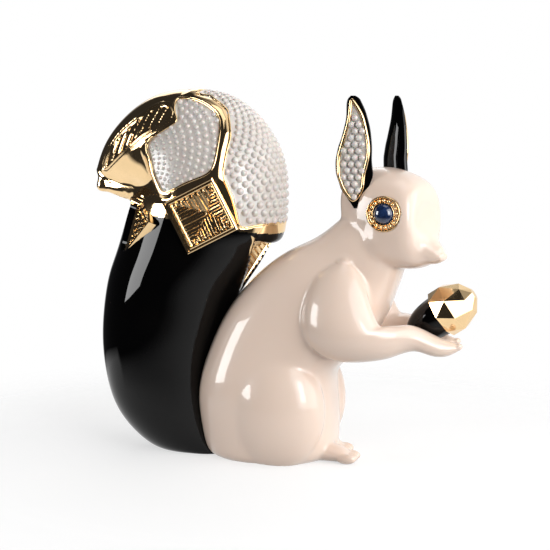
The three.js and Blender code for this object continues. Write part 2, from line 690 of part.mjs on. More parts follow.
function hindFoot(hand) {
  const step = hand > 0 ? FOOT_STAGGER : 0;
  const belly = Math.max(...TORSO_SHAPE.slice(0, 4).map((station) => station[2])) * TORSO_LENGTH;
  const front = belly + FOOT_REACH - step;
  const middle = (hand * FOOT_SPREAD) / 2;
  const heel = front - FOOT_LENGTH;
  const sole = FOOT_SHAPE.map(([along, height, side]) => [
    heel + along * FOOT_LENGTH, height * FOOT_HEIGHT, heel + along * FOOT_LENGTH, 0,
    middle, side * FOOT_WIDTH]);
  const toes = Array.from({ length: TOE_COUNT }, (_, k) => {
    const across = (k - (TOE_COUNT - 1) / 2) * (FOOT_WIDTH / TOE_COUNT);
    return oval(2 * TOE_RADIUS, TOE_RADIUS * 0.8, TOE_RADIUS,
      front - 2 * TOE_RADIUS, middle + across, TOE_RADIUS, 8, 4);
  });
  return join(loft(sole, { sides: 12 }), ...toes);
}

figurine.updateMatrixWorld(true);

// Torso
const torsoCavity = loft(torsoStations, { sides: 12, grow: -CAST_WALL });
const torsoDrain = drainHole(TORSO_LENGTH * TORSO_DRAIN, CAST_WALL);
const torsoSolid = cut(join(torsoLoft(0), ...haunches(0)), underground);
addMesh(torsoFrame, 'torso', cut(torsoSolid, torsoCavity, torsoDrain), CREAM);
const seenByTorso = [torsoLoft(FIT_GAP), ...haunches(FIT_GAP)];

// Feet
[['hind_foot_right', -1], ['hind_foot_left', 1]].forEach(([name, hand]) => {
  addMesh(torsoFrame, name, largest(cut(hindFoot(hand), ...seenByTorso)), CREAM);
});

// Head and eyes
const neckInHead = inFrame(torsoLoft(FIT_GAP), torsoFrame, headFrame);
const headCavity = loft(headStations, { sides: 10, grow: -CAST_WALL });
const headSkin = toGeometry(toSolid(headLoft(0)));
const ray = new THREE.Raycaster();
const skull = new THREE.Mesh(headSkin, new THREE.MeshBasicMaterial({ side: THREE.DoubleSide }));
const sockets = [];
[['right', -1], ['left', 1]].forEach(([side, hand]) => {
  const toeIn = THREE.MathUtils.degToRad(EYE_TOE_IN);
  const outwards = new THREE.Vector3(Math.sin(toeIn), hand * Math.cos(toeIn), 0);
  const eye = new THREE.Vector3(HEAD_LENGTH * EYE_PLACE[0], 0, HEAD_HEIGHT * EYE_PLACE[1]);
  ray.set(eye.clone().addScaledVector(outwards, HEAD_WIDTH), outwards.clone().negate());
  const seat = ray.intersectObject(skull)[0].point;
  const frame = group(headFrame, seat.x, seat.y, seat.z);
  frame.quaternion.setFromUnitVectors(new THREE.Vector3(0, 0, 1), outwards);
  frame.updateMatrixWorld(true);
  const socket = new THREE.CylinderGeometry(
    BEZEL_RADIUS + FIT_GAP, BEZEL_RADIUS + FIT_GAP, BEZEL_SEAT + FIT_GAP + BEZEL_HEIGHT * 2, 20)
    .rotateX(Math.PI / 2).translate(0, 0, BEZEL_HEIGHT - (BEZEL_SEAT + FIT_GAP) / 2);
  sockets.push(inFrame(socket, frame, headFrame));
  addMesh(frame, `eye_bezel_${side}`, bezelRing(), GOLD);
  addMesh(frame, `eye_cabochon_${side}`, cabochon(), BLUE);
});
addMesh(headFrame, 'head', largest(cut(headSkin, neckInHead, headCavity, ...sockets)), CREAM);

// Ears
[['right', -1], ['left', 1]].forEach(([side, hand]) => {
  const frame = group(
    headFrame, EAR_PLACE[0] * HEAD_LENGTH, (hand * EAR_SPREAD) / 2, EAR_PLACE[1] * HEAD_HEIGHT);
  frame.rotation.z = -hand * THREE.MathUtils.degToRad(EAR_TOE_IN);
  frame.updateMatrixWorld(true);
  const skullHere = inFrame(headLoft(FIT_GAP), headFrame, frame);
  const handed = (geometry) => (hand < 0 ? geometry : mirrored(toGeometry(toSolid(geometry))));
  addMesh(frame, `ear_${side}`, largest(cut(handed(earShell()), skullHere)), BLACK);
  addMesh(frame, `ear_rim_${side}`, largest(cut(handed(earRim()), skullHere)), GOLD);
  addMesh(frame, `ear_beads_${side}`, largest(cut(handed(earBeads()), skullHere)), PEARL);
});

// Acorn
const nutInShoulder = inFrame(nut(FIT_GAP), acornFrame, shoulderFrame);
const capInShoulder = inFrame(capDome(FIT_GAP), acornFrame, shoulderFrame);
addMesh(acornFrame, 'acorn_nut', toGeometry(toSolid(nut(0))), BLACK);
addMesh(acornFrame, 'acorn_cap', cut(capDome(0), nut(FIT_GAP)), GOLD);

// Front legs
const torsoInShoulder = seenByTorso.map((geometry) => inFrame(geometry, torsoFrame, shoulderFrame));
[['foreleg_right', -1], ['foreleg_left', 1]].forEach(([name, hand]) => {
  const leg = cut(armLoft(hand, 0), ...torsoInShoulder, nutInShoulder, capInShoulder);
  addMesh(shoulderFrame, name, largest(leg), CREAM);
});

// Tail
const torsoInTail = inFrame(torsoLoft(FIT_GAP), torsoFrame, tailFrame);
const seats = plaqueFrames.map((frame, i) => inFrame(plaqueSeat(PLAQUES[i][1]), frame, tailFrame));
const collarWall = CAST_WALL + PLAQUE_THICKNESS - PLAQUE_RELIEF;
const tailHollow = hollow(tailStations, (i) => {
  const upper = i > STEM_TOP + 2 ? CAST_WALL + INLAY_DEPTH : collarWall;
  return i < STEM_TOP - 3 ? CAST_WALL : upper;
});
const stemCavity = loft(tailHollow, { sides: 12, from: 1.3, to: STEM_TOP + 0.3 });
const crownCavity = loft(tailHollow, { sides: 12, from: STEM_TOP - 0.3, to: tailHollow.length - 3 });
const tailDrain = drainHole(TAIL_DRAIN * TAIL_LENGTH, CAST_WALL);
const inlaySeats = [
  inlaySeat(HOOD_EDGE, 0), inlaySeat(BEAD_PANEL, -1), inlaySeat(BEAD_PANEL, 1),
  inlaySeat(FLUTED_PANEL, -1), inlaySeat(FLUTED_PANEL, 1)];
const stem = cut(stemLoft(0), stemCavity, tailDrain, torsoInTail, ...seats);
addMesh(tailFrame, 'tail_stem', largest(stem), BLACK);
const crown = crownLoft(0).translate(0, 0, FIT_GAP);
addMesh(tailFrame, 'tail_crown', largest(cut(crown, crownCavity, ...seats, ...inlaySeats)), GOLD);
addMesh(tailFrame, 'bead_hood', largest(cut(beadedInlay(HOOD_EDGE, 0, HOOD_BEADS), ...seats)), PEARL);
[['right', -1], ['left', 1]].forEach(([side, hand]) => {
  const beads = beadedInlay(BEAD_PANEL, hand, PANEL_BEADS);
  addMesh(tailFrame, `bead_panel_${side}`, largest(cut(beads, ...seats)), PEARL);
  addMesh(tailFrame, `fluted_panel_${side}`, flutedPanel(hand), GOLD);
});
PLAQUES.forEach(([name], i) => {
  const frame = plaqueFrames[i];
  const neighbours = seats.slice(0, i).map((seat) => inFrame(seat, tailFrame, frame));
  const rump = inFrame(torsoLoft(FIT_GAP), torsoFrame, frame);
  addMesh(frame, name, largest(cut(plaque(PLAQUES[i][1]), rump, ...neighbours)), GOLD);
});

// The middle of the whole figurine stands over the origin.
const extent = new THREE.Box3().setFromObject(figurine, true);
torsoFrame.position.x -= (extent.min.x + extent.max.x) / 2;
torsoFrame.position.y -= (extent.min.y + extent.max.y) / 2;

export default figurine;
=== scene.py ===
"""Porcelain squirrel figurine with a jewelled tail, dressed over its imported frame."""

import functools
import math

import bpy
import numpy as np
from bpy.props import FloatProperty, FloatVectorProperty, IntProperty, PointerProperty
from mathutils import Matrix, Vector


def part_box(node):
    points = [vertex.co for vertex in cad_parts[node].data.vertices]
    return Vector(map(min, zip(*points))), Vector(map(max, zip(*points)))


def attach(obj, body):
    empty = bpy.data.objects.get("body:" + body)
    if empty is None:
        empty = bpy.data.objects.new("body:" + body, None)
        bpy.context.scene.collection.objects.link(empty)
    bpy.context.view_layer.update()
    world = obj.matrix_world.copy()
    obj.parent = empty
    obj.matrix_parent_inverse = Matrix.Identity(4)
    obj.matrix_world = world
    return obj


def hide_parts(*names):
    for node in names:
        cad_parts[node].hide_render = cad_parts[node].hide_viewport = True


bl_info = {
    "name": "Squirrel figurine",
    "version": (1, 0, 0),
    "blender": (4, 5, 0),
    "location": "View3D > Sidebar > Figurine",
    "description": "Glazed porcelain squirrel with a jewelled tail",
    "category": "Add Mesh",
}

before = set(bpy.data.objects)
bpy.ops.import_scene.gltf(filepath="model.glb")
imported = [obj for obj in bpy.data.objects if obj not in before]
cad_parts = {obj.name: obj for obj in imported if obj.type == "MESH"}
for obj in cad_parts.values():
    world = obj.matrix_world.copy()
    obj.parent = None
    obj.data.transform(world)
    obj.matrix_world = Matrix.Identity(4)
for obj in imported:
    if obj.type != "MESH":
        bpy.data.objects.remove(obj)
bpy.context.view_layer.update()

# Where the figurine's own frames stand, in millimetres
TORSO = np.array([-58.66, 0.0, 0.0])
TAIL = TORSO + [12.32, 0.0, 0.0]
NAPE = TORSO + [138.6, 0.0, 180.0]
SHOULDER = TORSO + [121.04, 0.0, 149.94]
ACORN = SHOULDER + [60.48, 0.0, -38.16]
HEAD_TURN = math.radians(-20.0)
ACORN_LEAN = math.radians(56.0)

# The squirrel's two sides: a hand of -1 is its right side, where y is below zero, and 1 its left
SIDES = (("right", -1), ("left", 1))
MILLIMETRE = 0.001
GROUND_GAP = 0.05
FAR = 1e9


# Shapes

def spline(rows, t):
    """A smooth curve through the rows, read at t, where 0 is the first row and 1 the next."""
    rows = np.asarray(rows, float)
    count = len(rows)
    system = np.eye(count) * 4 + np.eye(count, k=1) + np.eye(count, k=-1)
    system[0, 0] = system[-1, -1] = 2
    change = np.zeros_like(rows)
    change[0] = 3 * (rows[1] - rows[0])
    change[-1] = 3 * (rows[-1] - rows[-2])
    change[1:-1] = 3 * (rows[2:] - rows[:-2])
    slope = np.linalg.solve(system, change)
    t = np.asarray(t, float)
    at = np.clip(np.floor(t).astype(int), 0, count - 2)
    s = (t - at)[:, None]
    return ((2 * s**3 - 3 * s**2 + 1) * rows[at] + (s**3 - 2 * s**2 + s) * slope[at]
            + (3 * s**2 - 2 * s**3) * rows[at + 1] + (s**3 - s**2) * slope[at + 1])


def ring_curve(corners, count):
    """A closed smooth outline through the corners."""
    rows = np.asarray(corners, float)
    wrapped = np.vstack([rows[-4:], rows, rows[:5]])
    return spline(wrapped, 4 + np.arange(count) * len(rows) / count)


def band_faces(rows, sides):
    """Four-sided faces between closed rings of points that follow one another."""
    return [[r * sides + i, r * sides + (i + 1) % sides, (r + 1) * sides + (i + 1) % sides,
             (r + 1) * sides + i] for r in range(rows - 1) for i in range(sides)]


def end_faces(rows, sides):
    """The two faces that close the first and the last ring."""
    return [list(range(sides))[::-1], [(rows - 1) * sides + i for i in range(sides)]]


def read_chart(chart, low, pitch, x, z):
    """A chart of the side view, read between its points."""
    i = np.clip((x - low[0]) / pitch, 0, chart.shape[0] - 1.001)
    k = np.clip((z - low[1]) / pitch, 0, chart.shape[1] - 1.001)
    i0, k0 = i.astype(int), k.astype(int)
    right, up = i - i0, k - k0
    if chart.ndim > 2:
        right, up = right[:, None], up[:, None]
    lower = chart[i0, k0] * (1 - right) + chart[i0 + 1, k0] * right
    upper = chart[i0, k0 + 1] * (1 - right) + chart[i0 + 1, k0 + 1] * right
    return lower * (1 - up) + upper * up


class Loft:
    """A body drawn by oval stations in its side view.

    A station holds its back x and z, its front x and z, the middle y and the half width. With a power
    over 2 its section is squarer than an oval. The caps say how far each end is rounded past its station.
    The pitch is that of its chart, in millimetres. The steps are its sections between two stations.
    """
    pitch = 0.6
    steps = 22

    def __init__(self, stations, caps, power=2.0, margin=26.0):
        last = len(stations) - 1
        self.t = np.linspace(0, last, last * self.steps + 1)
        self.rows = spline(stations, self.t)
        self.stations = np.asarray(stations, float)
        self.caps = caps
        self.power = power
        ends = np.vstack([self.rows[:, 0:2], self.rows[:, 2:4]])
        self.low = ends.min(0) - margin
        self.size = np.ceil((ends.max(0) + margin - self.low) / self.pitch).astype(int) + 1
        self._chart()

    def _chart(self):
        """Charts station, place along its chord and reach past the ends for points of the side view."""
        x = self.low[0] + self.pitch * np.arange(self.size[0])[:, None]
        z = self.low[1] + self.pitch * np.arange(self.size[1])[None, :]
        shape = tuple(self.size)
        best = np.full(shape, FAR)
        station = np.zeros(shape)
        along = np.zeros(shape)
        beyond = np.zeros(shape)

        start, after = self.rows[0], self.rows[len(self.rows) // 4]
        ahead = (after[0:2] + after[2:4]) / 2 - start[0:2]
        way = np.sign((start[2] - start[0]) * ahead[1] - (start[3] - start[1]) * ahead[0])

        def read(k):
            back, chord = self.rows[k, 0:2], self.rows[k, 2:4] - self.rows[k, 0:2]
            side = way * (chord[0] * (z - back[1]) - chord[1] * (x - back[0]))
            place = (chord[0] * (x - back[0]) + chord[1] * (z - back[1])) / (chord @ chord) * 2 - 1
            return side, place, math.hypot(*chord)

        for end, cap in ((0, self.caps[0]), (len(self.t) - 1, self.caps[1])):
            side, place, length = read(end)
            past = -side / length if end == 0 else side / length
            reach = np.sqrt(place**2 + (np.maximum(past, 0) / cap)**2)
            better = (past >= 0) & (reach < best)
            best = np.where(better, reach, best)
            station = np.where(better, self.t[end], station)
            along = np.where(better, place, along)
            beyond = np.where(better, np.maximum(past, 0) / cap * (1 if end else -1), beyond)
        side, place, _ = read(0)
        for k in range(1, len(self.t)):
            next_side, next_place, _ = read(k)
            crossed = (side >= 0) & (next_side < 0)
            part = side / np.where(crossed, side - next_side, 1)
            here = place + part * (next_place - place)
            better = crossed & (np.abs(here) < best)
            best = np.where(better, np.abs(here), best)
            station = np.where(better, self.t[k - 1] + part * (self.t[k] - self.t[k - 1]), station)
            along = np.where(better, here, along)
            beyond = np.where(better, 0, beyond)
            side, place = next_side, next_place
        self.charts = np.stack([station, along, beyond], -1)

    def distance(self, points):
        """How far points lie outside the skin, roughly, in millimetres."""
        t, along, beyond = read_chart(self.charts, self.low, self.pitch, points[:, 0], points[:, 2]).T
        half = np.hypot(self.rows[:, 2] - self.rows[:, 0], self.rows[:, 3] - self.rows[:, 1]) / 2
        chord = np.interp(t, self.t, half)
        middle = np.interp(t, self.t, self.rows[:, 4])
        width = np.interp(t, self.t, np.maximum(self.rows[:, 5], 0.5))
        across = (points[:, 1] - middle) / width
        cap = np.where(beyond > 0, self.caps[1], self.caps[0])
        ratio = (np.abs(along)**self.power + np.abs(across)**self.power
                 + np.abs(beyond)**self.power)**(1 / self.power) + 1e-6
        reach = np.sqrt((along * chord)**2 + (across * width)**2 + (beyond * cap)**2) + 1e-6
        return reach / ratio * (ratio - 1)

    def point(self, t, angle):
        """Points of the skin: angle 0 is the front line, a quarter turn the right side."""
        rows = spline(self.stations, t)
        middle = (rows[:, 0:2] + rows[:, 2:4]) / 2
        chord = (rows[:, 2:4] - rows[:, 0:2]) / 2
        place = middle + chord * np.cos(angle)[:, None]
        return np.stack([place[:, 0], rows[:, 4] - rows[:, 5] * np.sin(angle), place[:, 1]], 1)

    def skin(self, bands, sides, last):
        """The skin from the first station to the last one asked for, as a closed mesh."""
        t = np.repeat(np.linspace(0, last, bands + 1), sides)
        angle = np.tile(np.arange(sides) * 2 * np.pi / sides, bands + 1)
        points = self.point(t, angle)
        faces = [face[::-1] for face in band_faces(bands + 1, sides)]
        points = np.vstack([points, points[:sides].mean(0), points[-sides:].mean(0)])
        start, end = len(points) - 2, len(points) - 1
        for i in range(sides):
            faces.append([i, (i + 1) % sides, start])
            faces.append([bands * sides + (i + 1) % sides, bands * sides + i, end])
        return points, faces


def ball(points, middle, radii):
    """Distance to an ellipsoid, roughly."""
    local = (points - middle) / radii
    ratio = np.linalg.norm(local, axis=1) + 1e-6
    reach = np.linalg.norm(points - middle, axis=1) + 1e-6
    return reach / ratio * (ratio - 1)


def rod(points, start, end, start_radius, end_radius):
    """Distance to a rounded rod that tapers from one radius to the other."""
    start, end = np.asarray(start, float), np.asarray(end, float)
    axis = end - start
    s = np.clip((points - start) @ axis / (axis @ axis), 0, 1)
    return np.linalg.norm(points - start - s[:, None] * axis, axis=1) - (
        start_radius + s * (end_radius - start_radius))


def melt(first, second, width):
    """Union of two distances with a soft valley of the given width."""
    near = np.maximum(width - np.abs(first - second), 0) / width
    return np.minimum(first, second) - near**3 * width / 6


def carve(first, second, width):
    """What is left of the first where the second is taken out, with a soft edge."""
    near = np.maximum(width - np.abs(first + second), 0) / width
    return np.maximum(first, -second) + near**3 * width / 6


def turned(points, origin, angle):
    """Points seen from a frame that stands at origin and is turned about the vertical."""
    local = points - origin
    c, s = math.cos(angle), math.sin(angle)
    return np.stack([c * local[:, 0] + s * local[:, 1], c * local[:, 1] - s * local[:, 0], local[:, 2]], 1)


LEAST_STEEP = 0.05


def slope(field, points, step):
    """Gradient of a field at points."""
    parts = []
    for axis in np.eye(3) * step:
        parts.append((field(points + axis) - field(points - axis)) / (2 * step))
    return np.stack(parts, 1)


def skin_of(field, low, high, step, fine=0.5):
    """Points, four-sided faces and normals of the surface where a field is zero."""
    low, high = np.asarray(low, float), np.asarray(high, float)
    size = np.ceil((high - low) / step).astype(int) + 1
    axes = [low[a] + step * np.arange(size[a]) for a in range(3)]
    values = np.empty(size)
    yy, zz = np.meshgrid(axes[1], axes[2], indexing="ij")
    for i, x in enumerate(axes[0]):
        slab = np.stack([np.full(yy.size, x), yy.ravel(), zz.ravel()], 1)
        values[i] = field(slab).reshape(yy.shape)
    inside = values < 0
    cells = size - 1
    total = int(np.prod(cells))
    tally = np.zeros(total)
    sums = np.zeros((3, total))
    quads = []
    for axis in range(3):
        lower = [slice(None)] * 3
        upper = [slice(None)] * 3
        lower[axis], upper[axis] = slice(0, -1), slice(1, None)
        differ = inside[tuple(lower)] != inside[tuple(upper)]
        at = np.argwhere(differ)
        first = values[tuple(lower)][differ]
        second = values[tuple(upper)][differ]
        filled = inside[tuple(lower)][differ]
        place = at.astype(float)
        place[:, axis] += first / (first - second)
        b, c = (axis + 1) % 3, (axis + 2) % 3
        around = []
        for db, dc in ((0, 0), (-1, 0), (-1, -1), (0, -1)):
            cell = at.copy()
            cell[:, b] += db
            cell[:, c] += dc
            around.append(cell)
        valid = np.all([np.all((cell >= 0) & (cell < cells), axis=1) for cell in around], axis=0)
        around = [cell[valid] for cell in around]
        ids = [(cell[:, 0] * cells[1] + cell[:, 1]) * cells[2] + cell[:, 2] for cell in around]
        for cell_ids in ids:
            tally += np.bincount(cell_ids, minlength=total)
            for k in range(3):
                sums[k] += np.bincount(cell_ids, weights=place[valid][:, k], minlength=total)
        quad = np.stack(ids, 1)
        turn = ~filled[valid]
        quad[turn] = quad[turn][:, ::-1]
        quads.append(quad)
    used = np.flatnonzero(tally)
    number = np.full(total, -1)
    number[used] = np.arange(len(used))
    points = low + step * (sums[:, used] / tally[used]).T
    faces = number[np.vstack(quads)]
    for _ in range(3):
        grade = slope(field, points, fine)
        steep = np.maximum((grade**2).sum(1), LEAST_STEEP)
        move = np.clip(field(points) / steep, -step, step)[:, None] * grade
        points = points - move
    normals = slope(field, points, fine)
    normals /= np.linalg.norm(normals, axis=1)[:, None] + 1e-9
    return points, faces, normals


def add_piece(name, points, faces, slot, nodes, normals=None, smooth=True):
    """A mesh in millimetres becomes a piece that rides on the figurine and stands for its nodes."""
    mesh = bpy.data.meshes.new(name)
    points = np.asarray(points, float) * MILLIMETRE
    if isinstance(faces, np.ndarray):
        faces = faces.tolist()
    mesh.from_pydata(points.tolist(), [], faces)
    mesh.validate()
    if smooth:
        mesh.shade_smooth()
    else:
        mesh.shade_flat()
    if normals is not None:
        mesh.normals_split_custom_set_from_vertices(normals.tolist())
    mesh.materials.append(FINISHES[slot]())
    piece = bpy.data.objects.new(name, mesh)
    bpy.context.scene.collection.objects.link(piece)
    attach(piece, "root")
    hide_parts(*nodes)
    return piece


def gather(parts):
    """Several meshes as one."""
    points, faces, start = [], [], 0
    for part_points, part_faces in parts:
        points.append(part_points)
        faces += [[index + start for index in face] for face in part_faces]
        start += len(part_points)
    return np.vstack(points), faces


def beads_mesh(places, normals, radii, squash=1.0, rings=5, sides=10):
    """Domed beads, one at each place, standing along its normal."""
    lift = np.linspace(-0.25, 0.5, rings) * np.pi
    angle = np.arange(sides) * 2 * np.pi / sides
    dome = [[math.cos(a) * math.cos(b), math.cos(a) * math.sin(b), math.sin(a)]
            for a in lift[:-1] for b in angle] + [[0, 0, 1]]
    dome = np.array(dome)
    top = len(dome) - 1
    last = (rings - 2) * sides
    faces = band_faces(rings - 1, sides)
    faces += [[last + i, last + (i + 1) % sides, top] for i in range(sides)]
    faces.append(list(range(sides))[::-1])
    normals = normals / np.linalg.norm(normals, axis=1)[:, None]
    helper = np.where(np.abs(normals[:, 2:3]) < 0.8, [[0, 0, 1.0]], [[1.0, 0, 0]])
    first = np.cross(helper, normals)
    first /= np.linalg.norm(first, axis=1)[:, None]
    second = np.cross(normals, first)
    beads = []
    for k, place in enumerate(places):
        shape = dome * radii[k] * [1, 1, squash]
        turned_dome = shape[:, 0:1] * first[k] + shape[:, 1:2] * second[k] + shape[:, 2:3] * normals[k]
        beads.append((place + turned_dome, faces))
    return gather(beads)


def tube(path, normals, width, height, sides=10):
    """A rounded strip that follows a closed path and stands along the normals."""
    along = np.roll(path, -1, 0) - np.roll(path, 1, 0)
    along /= np.linalg.norm(along, axis=1)[:, None] + 1e-9
    across = np.cross(along, normals)
    across /= np.linalg.norm(across, axis=1)[:, None] + 1e-9
    up = np.cross(across, along)
    angle = np.arange(sides) * 2 * np.pi / sides
    rings = (path[:, None] + across[:, None] * np.cos(angle)[None, :, None] * width
             + up[:, None] * np.sin(angle)[None, :, None] * height)
    points = rings.reshape(-1, 3)
    faces = [[index % len(points) for index in face] for face in band_faces(len(path) + 1, sides)]
    return points, faces


def lathe(profile, sides):
    """A turned form: the profile gives radius and height, from its foot to its top."""
    angle = np.arange(sides) * 2 * np.pi / sides
    points = [[radius * math.cos(a), radius * math.sin(a), height]
              for radius, height in profile for a in angle]
    return np.array(points), band_faces(len(profile), sides) + end_faces(len(profile), sides)


# Finishes

GLAZE_WAVE = 0.0001


def node(tree, kind, links=(), values=(), operation=None):
    """A new node: what feeds its sockets, the values of other sockets, and its operation if it has one."""
    made = tree.nodes.new(kind)
    if operation:
        made.operation = operation
    for socket, value in dict(values).items():
        made.inputs[socket].default_value = value
    for socket, source in dict(links).items():
        tree.links.new(source, made.inputs[socket])
    return made


def joined(tree, operation, first, second):
    """Two factors joined by one operation of arithmetic."""
    return node(tree, "ShaderNodeMath", {0: first, 1: second}, operation=operation).outputs[0]


def material(name, base, metallic=0.0, roughness=0.1, coat=0.0, coat_roughness=0.03, ior=1.5,
             subsurface=0.0):
    """A finish and its shader."""
    made = bpy.data.materials.new(name)
    made.use_nodes = True
    shader = made.node_tree.nodes["Principled BSDF"]
    values = {"Base Color": (*base, 1), "Metallic": metallic, "Roughness": roughness, "IOR": ior,
              "Coat Weight": coat, "Coat Roughness": coat_roughness, "Subsurface Weight": subsurface,
              "Subsurface Scale": 0.004}
    for socket, value in values.items():
        shader.inputs[socket].default_value = value
    return made, shader


def noise(made, scale, detail):
    """A soft pattern that stays on its piece."""
    place = node(made.node_tree, "ShaderNodeTexCoord").outputs["Object"]
    texture = node(made.node_tree, "ShaderNodeTexNoise", {"Vector": place},
                   {"Scale": scale, "Detail": detail})
    return texture.outputs["Fac"]


def vary(made, shader, socket, scale, detail, ends, stops=(0.3, 0.7)):
    """Lets a noise move a socket of the shader between two colours or two plain values."""
    ramp_node = node(made.node_tree, "ShaderNodeValToRGB", {"Fac": noise(made, scale, detail)})
    for element, at, colour in zip(ramp_node.color_ramp.elements, stops, ends):
        element.position = at
        element.color = (*np.broadcast_to(colour, 3), 1)
    made.node_tree.links.new(ramp_node.outputs["Color"], shader.inputs[socket])


def ripple(made, shader, scale, detail, strength):
    """Gives the glaze a faint wave."""
    bump = node(made.node_tree, "ShaderNodeBump", {"Height": noise(made, scale, detail)},
                {"Distance": GLAZE_WAVE, "Strength": strength})
    made.node_tree.links.new(bump.outputs["Normal"], shader.inputs["Normal"])


def shades(colour, dark, light):
    """The colour a little darker and a little lighter."""
    colour = np.array(colour)
    return colour * dark, np.minimum(colour * light, 1)


@functools.cache
def cream_glaze():
    colour = settings().cream
    made, shader = material("cream_glaze_finish", colour, roughness=0.2, coat=0.8, coat_roughness=0.02,
                            ior=1.4, subsurface=0.08)
    shader.inputs["Subsurface Radius"].default_value = (1.0, 0.6, 0.4)
    vary(made, shader, "Base Color", 9, 2, shades(colour, 0.985, 1.015))
    vary(made, shader, "Roughness", 60, 2, (0.3, 0.4))
    ripple(made, shader, 14, 1, 0.12)
    return made


@functools.cache
def black_glaze():
    made, shader = material("black_glaze_finish", (0.001, 0.001, 0.0011), roughness=0.02, ior=1.32)
    vary(made, shader, "Base Color", 25, 2, ((0.0006, 0.0006, 0.0007), (0.0014, 0.0013, 0.0013)))
    vary(made, shader, "Roughness", 50, 2, (0.01, 0.035))
    ripple(made, shader, 14, 1, 0.1)
    return made


@functools.cache
def gold_lustre():
    colour = settings().gold
    made, shader = material("gold_lustre_finish", colour, metallic=1.0, roughness=0.1)
    vary(made, shader, "Base Color", 45, 3, shades(colour, 0.93, 1.05))
    vary(made, shader, "Roughness", 140, 3, (0.05, 0.11), stops=(0.35, 0.65))
    ripple(made, shader, 60, 2, 0.2)
    return made


@functools.cache
def pearl_glaze():
    colour = settings().pearl
    made, shader = material("pearl_glaze_finish", colour, roughness=0.3, coat=0.7, coat_roughness=0.1,
                            subsurface=0.15)
    vary(made, shader, "Base Color", 160, 2, shades(colour, 0.94, 1.05))
    vary(made, shader, "Roughness", 300, 2, (0.25, 0.38))
    ripple(made, shader, 260, 2, 0.3)
    return made


@functools.cache
def blue_cabochon():
    made, shader = material("blue_cabochon_finish", (0.008, 0.022, 0.075), roughness=0.05, coat=1.0,
                            ior=1.6)
    vary(made, shader, "Base Color", 220, 3, ((0.004, 0.012, 0.045), (0.014, 0.035, 0.11)))
    ripple(made, shader, 90, 1, 0.15)
    return made


FINISHES = {"cream_glaze": cream_glaze, "black_glaze": black_glaze, "gold_lustre": gold_lustre,
            "pearl_glaze": pearl_glaze, "blue_cabochon": blue_cabochon}


FLOOR_GLOW = 0.6
FADE_START, FADE_END = 0.2, 0.42


def floor_white():
    """A pale floor that fades into the white backdrop away from the figurine and keeps its shadow."""
    made, shader = material("floor_white", (0.4, 0.4, 0.4), roughness=0.8)
    tree = made.node_tree
    place = node(tree, "ShaderNodeTexCoord").outputs["Object"]
    rays = node(tree, "ShaderNodeLightPath")
    parts = node(tree, "ShaderNodeSeparateXYZ", {"Vector": place})
    behind = node(tree, "ShaderNodeMapRange", {"Value": parts.outputs["Y"]},
                  {"From Min": -0.3, "From Max": -0.1})
    mirrored = joined(tree, "MULTIPLY", rays.outputs["Is Glossy Ray"], behind.outputs["Result"])
    shown = joined(tree, "MAXIMUM", rays.outputs["Is Camera Ray"], mirrored)
    lift = node(tree, "ShaderNodeMath", {0: shown}, {1: FLOOR_GLOW}, "MULTIPLY")
    glow = node(tree, "ShaderNodeEmission", {"Strength": lift.outputs[0]})
    both = node(tree, "ShaderNodeAddShader", {0: shader.outputs[0], 1: glow.outputs[0]})
    length = node(tree, "ShaderNodeVectorMath", {0: place}, operation="LENGTH")
    fade = node(tree, "ShaderNodeMapRange", {"Value": length.outputs["Value"]},
                {"From Min": FADE_START, "From Max": FADE_END})
    fade.interpolation_type = "SMOOTHSTEP"
    clear = node(tree, "ShaderNodeBsdfTransparent")
    mix = node(tree, "ShaderNodeMixShader",
               {"Fac": fade.outputs["Result"], 1: both.outputs[0], 2: clear.outputs[0]})
    tree.links.new(mix.outputs[0], tree.nodes["Material Output"].inputs["Surface"])
    return made


# Sizes and colours that a user would change

class FigurineSettings(bpy.types.PropertyGroup):
    """Sizes and colours of the figurine's finish."""
    cream: FloatVectorProperty(name="Cream glaze", description="Colour of the body's glaze",
                               subtype="COLOR", size=3, min=0, max=1, default=(0.76, 0.605, 0.505))
    gold: FloatVectorProperty(name="Gold lustre", description="Colour of the gilding", subtype="COLOR",
                              size=3, min=0, max=1, default=(0.92, 0.66, 0.36))
    pearl: FloatVectorProperty(name="Pearl glaze", description="Colour of the applied beads",
                               subtype="COLOR", size=3, min=0, max=1, default=(0.64, 0.59, 0.55))
    hood_beads: IntProperty(name="Hood beads", description="Beads in a full row round the hood", default=42,
                            min=20)
    panel_beads: IntProperty(name="Panel beads", description="Beads in a full row round the side panels",
                             default=56, min=20)
    body_grid: FloatProperty(name="Body grid", description="Width of the faces of the body's skin",
                             default=0.0013, min=0.0008, unit="LENGTH")
    crown_grid: FloatProperty(name="Crown grid", description="Width of the faces of the upper tail's skin",
                              default=0.0009, min=0.0005, unit="LENGTH")


def settings():
    return bpy.context.scene.figurine


# Body: the torso with its haunches, the head, the front legs and the hind feet

def sized(shape, length, height, width):
    """Stations in millimetres, from shares of a length, a height and a width."""
    shape = np.insert(np.asarray(shape, float), 4, 0, axis=1)
    return shape * [length, height, length, height, 1, width]


